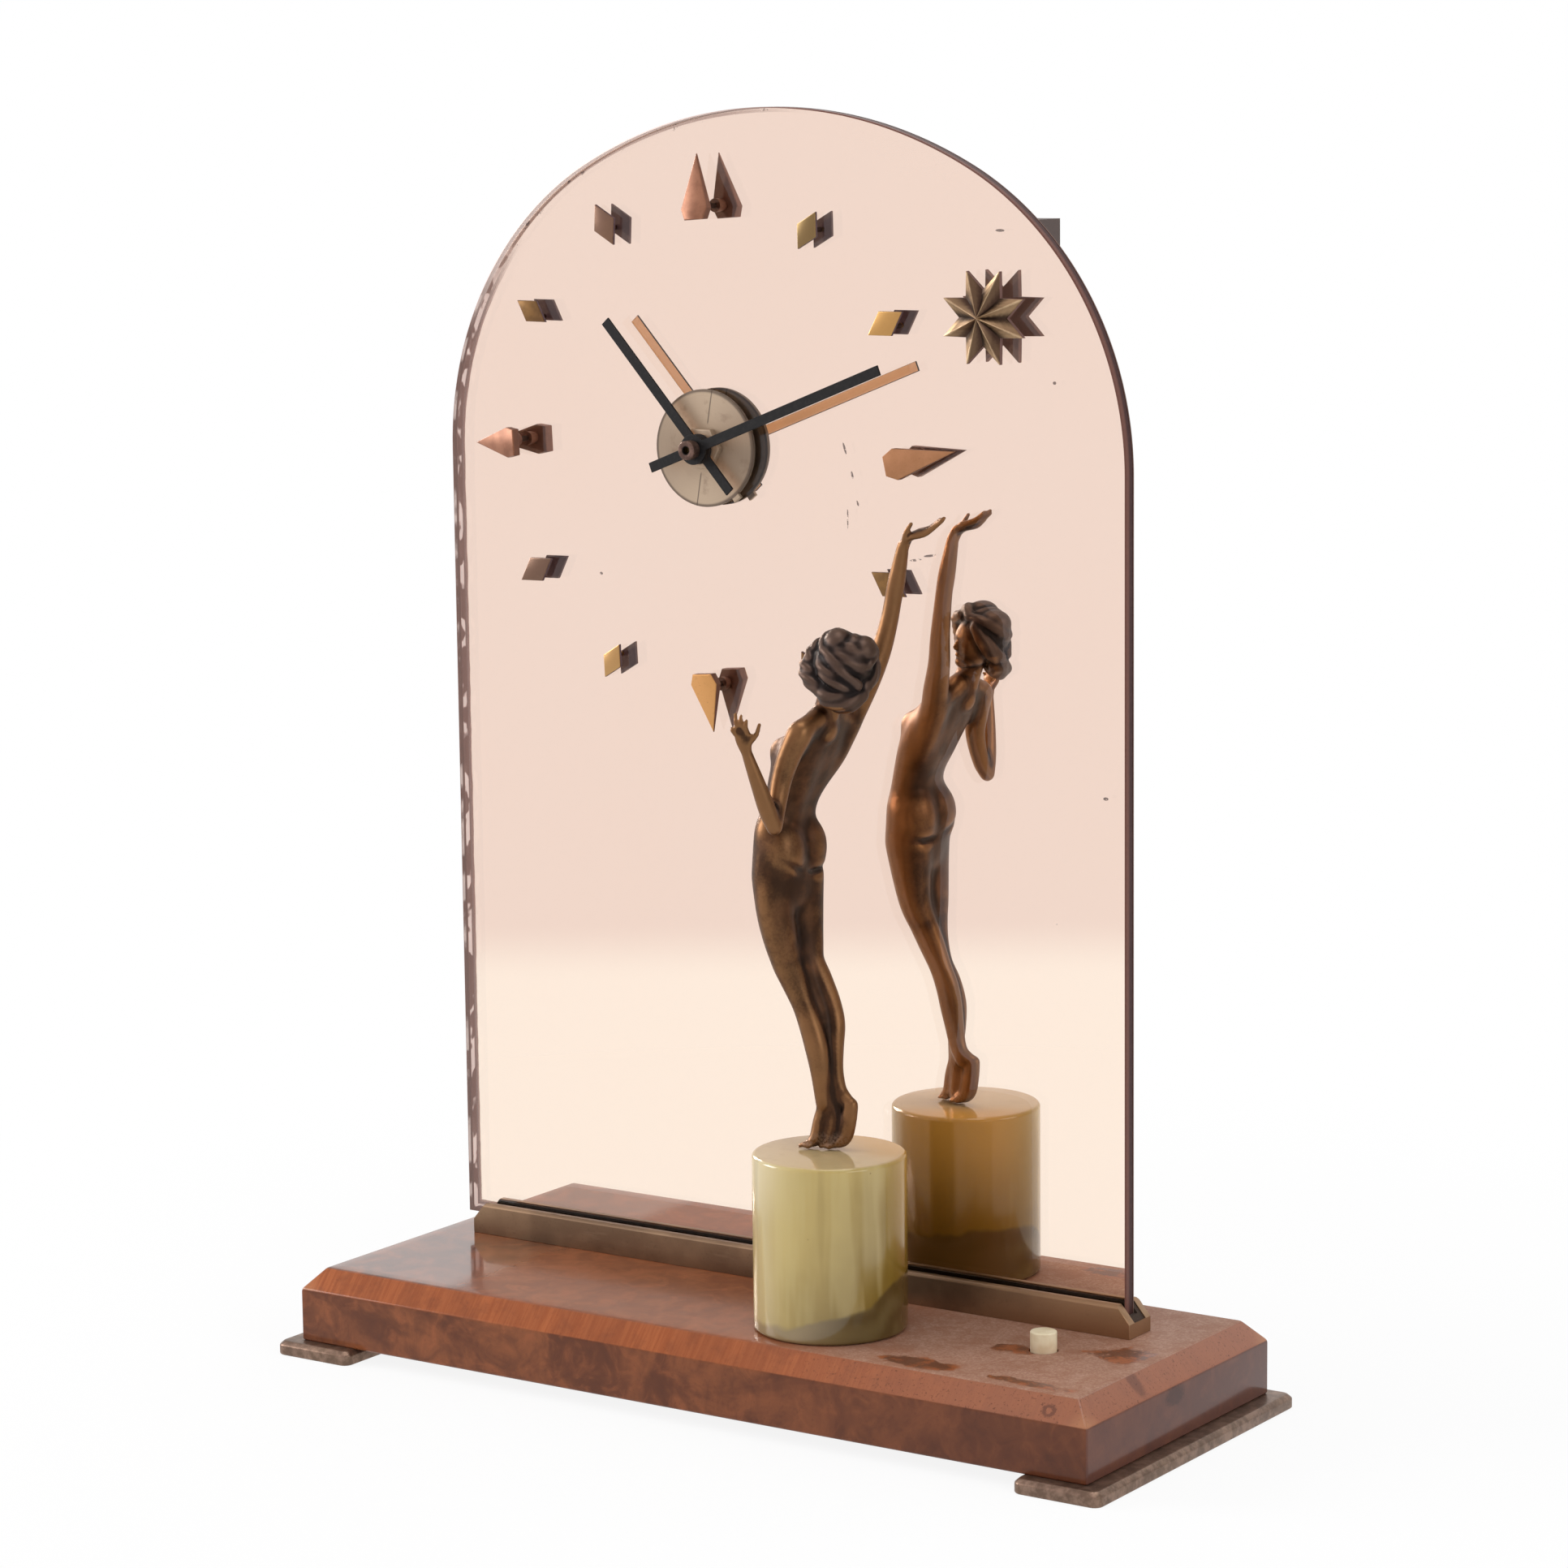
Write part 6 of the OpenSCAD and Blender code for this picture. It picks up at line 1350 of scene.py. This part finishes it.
# Push button: an ivory-coloured peg in a brass bush let into the base, held up by a spring over two contacts.
# A painted cover plate closes the pocket from below.
BUTTON_R, BUTTON_TOP, BUTTON_COLLAR_R, COLLAR_TOP, COLLAR_T = 3.6, 30.4, 5.4, 14.5, 1.6
STEM_R, STEM_END = 1.5, 10.5
button = Shell()
button_rows = eased([(TIP_R, STEM_END), (STEM_R, STEM_END), (STEM_R, COLLAR_TOP - COLLAR_T),
                     (BUTTON_COLLAR_R, COLLAR_TOP - COLLAR_T), (BUTTON_COLLAR_R, COLLAR_TOP), (BUTTON_R, COLLAR_TOP),
                     (BUTTON_R, BUTTON_TOP), (TIP_R, BUTTON_TOP)], 0.45)
button.solid((0, 1), rings(button, BUTTON_AT, button_rows, 48))


def ivory_varies(place):
    """Two cream colours in clouds of grime, browner towards the base."""
    grime = cloudy(place, 0.25, 3.0, 0.5)
    low = axis_of(place, 2).rise(BUTTON_TOP - 1.5, BASE_TOP)
    colour = mixed(grime.rise(0.4, 0.75), ink(238, 224, 192), ink(224, 204, 166))
    return {"Base Color": mixed(low * 0.5, colour, ink(198, 160, 124)), "Roughness": 0.32 + 0.2 * grime}


IVORY = finish("button_ivory", {}, ivory_varies)
piece("button_peg", button, [IVORY], "button", ["push_button"], crease=40)


def yellow_brass_varies(place):
    """Two yellows in a grain along X, with brown stains."""
    grain = cloudy(stretched(place, 0.25, 1, 1), 1.2, 4.0, 0.6)
    stain = cloudy(place, 0.12, 4.0, 0.6)
    colour = mixed(grain, ink(176, 140, 74), ink(212, 178, 110))
    return {"Base Color": mixed(stain.rise(0.55, 0.75) * 0.5, colour, ink(128, 96, 54)),
            "Roughness": 0.26 + 0.2 * grain}


YELLOW_BRASS = finish("movement_brass", {"Metallic": 1.0}, yellow_brass_varies)
PRESSED_BOARD = two_tone("pressed_board", {}, (122, 82, 54), (166, 118, 80), (1.5, 4.0, 0.7), (0.6, 0.2),
                         stretch=(1, 0.3, 1))


def grey_enamel_varies(place):
    """Two greys in broad clouds of dust over a fine orange-peel bump."""
    orange_peel = cloudy(place, 0.9, 3.0, 0.5)
    dust = cloudy(place, 0.06, 5.0, 0.65)
    colour = mixed(dust.rise(0.4, 0.7), ink(80, 64, 59), ink(102, 83, 76))
    return {"Base Color": colour, "Roughness": 0.42 + 0.2 * dust, "Normal": dented(orange_peel, 0.15, 0.08)}


GREY_ENAMEL = finish("grey_enamel", {}, grey_enamel_varies)
for node in ("button_bush", "contact_stud"):
    paint_node(node, YELLOW_BRASS)
paint_node("cover_plate_screws", STEEL)
paint_node("contact_board", PRESSED_BOARD)
paint_node("button_cover", GREY_ENAMEL)

SPRING_R, SPRING_WIRE_R, SPRING_TURNS, SPRING_LOW, SPRING_TOP, SPRING_SEAT = 3, 0.3, 6, 7.0, 12.55, 6.7


def coil(shell, centre, r, wire_r, turns, low, top):
    """A round wire carried along a helix of radius r that climbs evenly from low to top."""
    turn = np.linspace(0, 2 * np.pi * turns, 24 * turns + 1)[:, None]
    around = np.linspace(0, 2 * np.pi, 8, endpoint=False)
    out, up = r + wire_r * np.cos(around), low + (top - low) * turn / turn[-1] + wire_r * np.sin(around)
    wire = np.stack([centre[0] + out * np.cos(turn), centre[1] + out * np.sin(turn), up], axis=2)
    numbers = shell.loop(wire.reshape(-1, 3)).reshape(wire.shape[:2])
    shell.solid((0, 2), numbers)


spring = Shell()
coil(spring, BUTTON_AT, SPRING_R, SPRING_WIRE_R, SPRING_TURNS, SPRING_LOW, SPRING_TOP)
return_spring = piece("return_spring", spring, [STEEL], "clock", ["button_spring"])
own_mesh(return_spring)

# Movement: brass plates on pillars behind the glass, with the wheels between them and a steel plate that the
# bush of the dial stands on. A folded cover of enamelled sheet closes it, with the key and the setting knob outside.
BLUED_STEEL = two_tone("blued_steel", {"Metallic": 1.0}, (62, 68, 92), (96, 100, 120), (0.5, 4.0, 0.6), (0.25, 0.15))
for node in ("motion_posts", "front_plate", "rear_plate", "pillars", "hour_wheel", "minute_wheel", "centre_wheel",
             "third_wheel", "escape_wheel", "balance_wheel", "barrel", "set_knob", "winding_key"):
    paint_node(node, YELLOW_BRASS)
for node in ("mount_plate", "plate_screws", "cannon_pinion", "minute_stud", "pallet_lever", "winding_arbor",
             "ratchet_wheel", "click", "click_screw", "cover_spacers", "cover_screws"):
    paint_node(node, STEEL)
paint_node("mount_washer", RUBBER)
paint_node("mainspring", BLUED_STEEL)
paint_node("dust_cover", GREY_ENAMEL)

# Studio: a white table under soft light from the upper left, seen from the right and a little above. What the
# mirror shows beyond the table's edge is a shade darker, and polished pieces see a dimmer room to the right.
CAMERA_AT = (0.6989, -1.0235, 0.3619)
CAMERA_TURN, CAMERA_DOWN, CAMERA_ROLL = 34.0996, 8.85757, 0.6656
CAMERA_LENS, SENSOR = 104.957, 36
TABLE_HALF, TABLE_EDGE, TABLE_FADE, TABLE_WAY = 4, 0.61, 0.07, (-0.559, -0.829)
BEYOND_TABLE, DARK_ROOM, WHITE = (0.887, 0.82, 0.827, 1), (0.22, 0.2, 0.19, 1), (1, 1, 1, 1)
SHADOW_KEPT, AMBIENT = 0.12, 0.55

turn, down, roll = (math.radians(v) for v in (CAMERA_TURN, CAMERA_DOWN, CAMERA_ROLL))
behind = np.array([math.sin(turn) * math.cos(down), -math.cos(turn) * math.cos(down), math.sin(down)])
right = unit(np.cross(-behind, (0, 0, 1)))
below = np.cross(-behind, right)
tilted_right = math.cos(roll) * right + math.sin(roll) * below
tilted_up = math.sin(roll) * right - math.cos(roll) * below
camera_data = bpy.data.cameras.new("camera")
camera_data.sensor_width, camera_data.lens = SENSOR, CAMERA_LENS
camera_data.clip_start, camera_data.clip_end = 0.05, 30
camera = placed("camera", camera_data)
facing = np.column_stack([tilted_right, tilted_up, behind, CAMERA_AT])
camera.matrix_world = Matrix(np.vstack([facing, (0, 0, 0, 1)]).tolist())
bpy.context.scene.camera = camera


def seen():
    """For the ray in hand: from the camera, off a polish, and either of them or through glass, each 0 or 1."""
    by_camera, by_polish, by_glass = (Wire.node("LightPath", None, None, "Is " + ray + " Ray")
                                      for ray in ("Camera", "Glossy", "Transmission"))
    return by_camera, by_polish, (by_camera + by_polish + by_glass).capped()


table_mesh = bpy.data.meshes.new("table")
table_mesh.from_pydata([(x * TABLE_HALF, y * TABLE_HALF, 0) for x, y in ((-1, -1), (1, -1), (1, 1), (-1, 1))], [],
                       [(0, 1, 2, 3)])
table = placed("table", table_mesh)
table_paint = bpy.data.materials.new("white_table")
table_paint.use_nodes = True
Wire.tree = table_paint.node_tree
Wire.tree.nodes.clear()
by_camera, by_polish, in_picture = seen()
table_spot = Wire.node("TexCoord", None, None, "Object")
off_centre = axis_of(table_spot, 0) * TABLE_WAY[0] + axis_of(table_spot, 1) * TABLE_WAY[1]
far = off_centre.rise(TABLE_EDGE - TABLE_FADE, TABLE_EDGE + TABLE_FADE) * (1 - by_camera)
lit = Wire.node("BsdfDiffuse", None, {"Color": (0.9, 0.9, 0.9, 1)})
dim = axis_of(table_spot, 0).rise(0.4, 1.1) * by_polish * 0.3
table_white = mixed(dim, mixed(far, WHITE, BEYOND_TABLE), DARK_ROOM)
white = Wire.node("Emission", None, {"Color": table_white, "Strength": 1.0})
reach = Wire.node("VectorMath", {"operation": "LENGTH"}, {0: table_spot}, "Value")
shown = Wire.node("MixShader", None, {0: reach.rise(0.42, 0.2) * SHADOW_KEPT, 1: white, 2: lit})
surface = Wire.node("MixShader", None, {0: in_picture, 1: lit, 2: shown})
Wire.node("OutputMaterial", None, {"Surface": surface})
table_mesh.materials.append(table_paint)

world = bpy.data.worlds.new("studio")
bpy.context.scene.world = world
world.use_nodes = True
Wire.tree = world.node_tree
Wire.tree.nodes.clear()
by_camera, by_polish, in_picture = seen()
way = Wire.node("TexCoord", None, None, "Object")
toward_back = axis_of(way, 1).rise(-0.05, 0.05)
picture = mixed((by_camera + toward_back).capped(), BEYOND_TABLE, WHITE)
picture = mixed(axis_of(way, 0).rise(0.2, 0.7) * by_polish * 0.6, picture, DARK_ROOM)
air = mixed(in_picture, (AMBIENT, AMBIENT, AMBIENT, 1), picture)
Wire.node("OutputWorld", None, {"Surface": Wire.node("Background", None, {"Color": air, "Strength": 1.0})})


def soft_box(name, place, target, size, power):
    """A square lamp that looks from place to target."""
    data = bpy.data.lights.new(name, "AREA")
    data.shape, data.size, data.energy = "SQUARE", size, power
    lamp = placed(name, data)
    back = unit(np.array(place) - target)
    side = unit(np.cross((0, 0, 1), back))
    frame_of_lamp = np.column_stack([side, np.cross(back, side), back, place])
    lamp.matrix_world = Matrix(np.vstack([frame_of_lamp, (0, 0, 0, 1)]).tolist())


soft_box("window_light", (-1.7, -0.7, 0.7), (0, 0, 0.15), 0.8, 20)
soft_box("fill_light", (1.6, -0.4, 0.7), (0, 0, 0.15), 0.9, 7)
soft_box("top_light", (0.1, 0.1, 1.6), (0, 0, 0.1), 0.9, 8)
bpy.context.scene.view_settings.view_transform = "Standard"
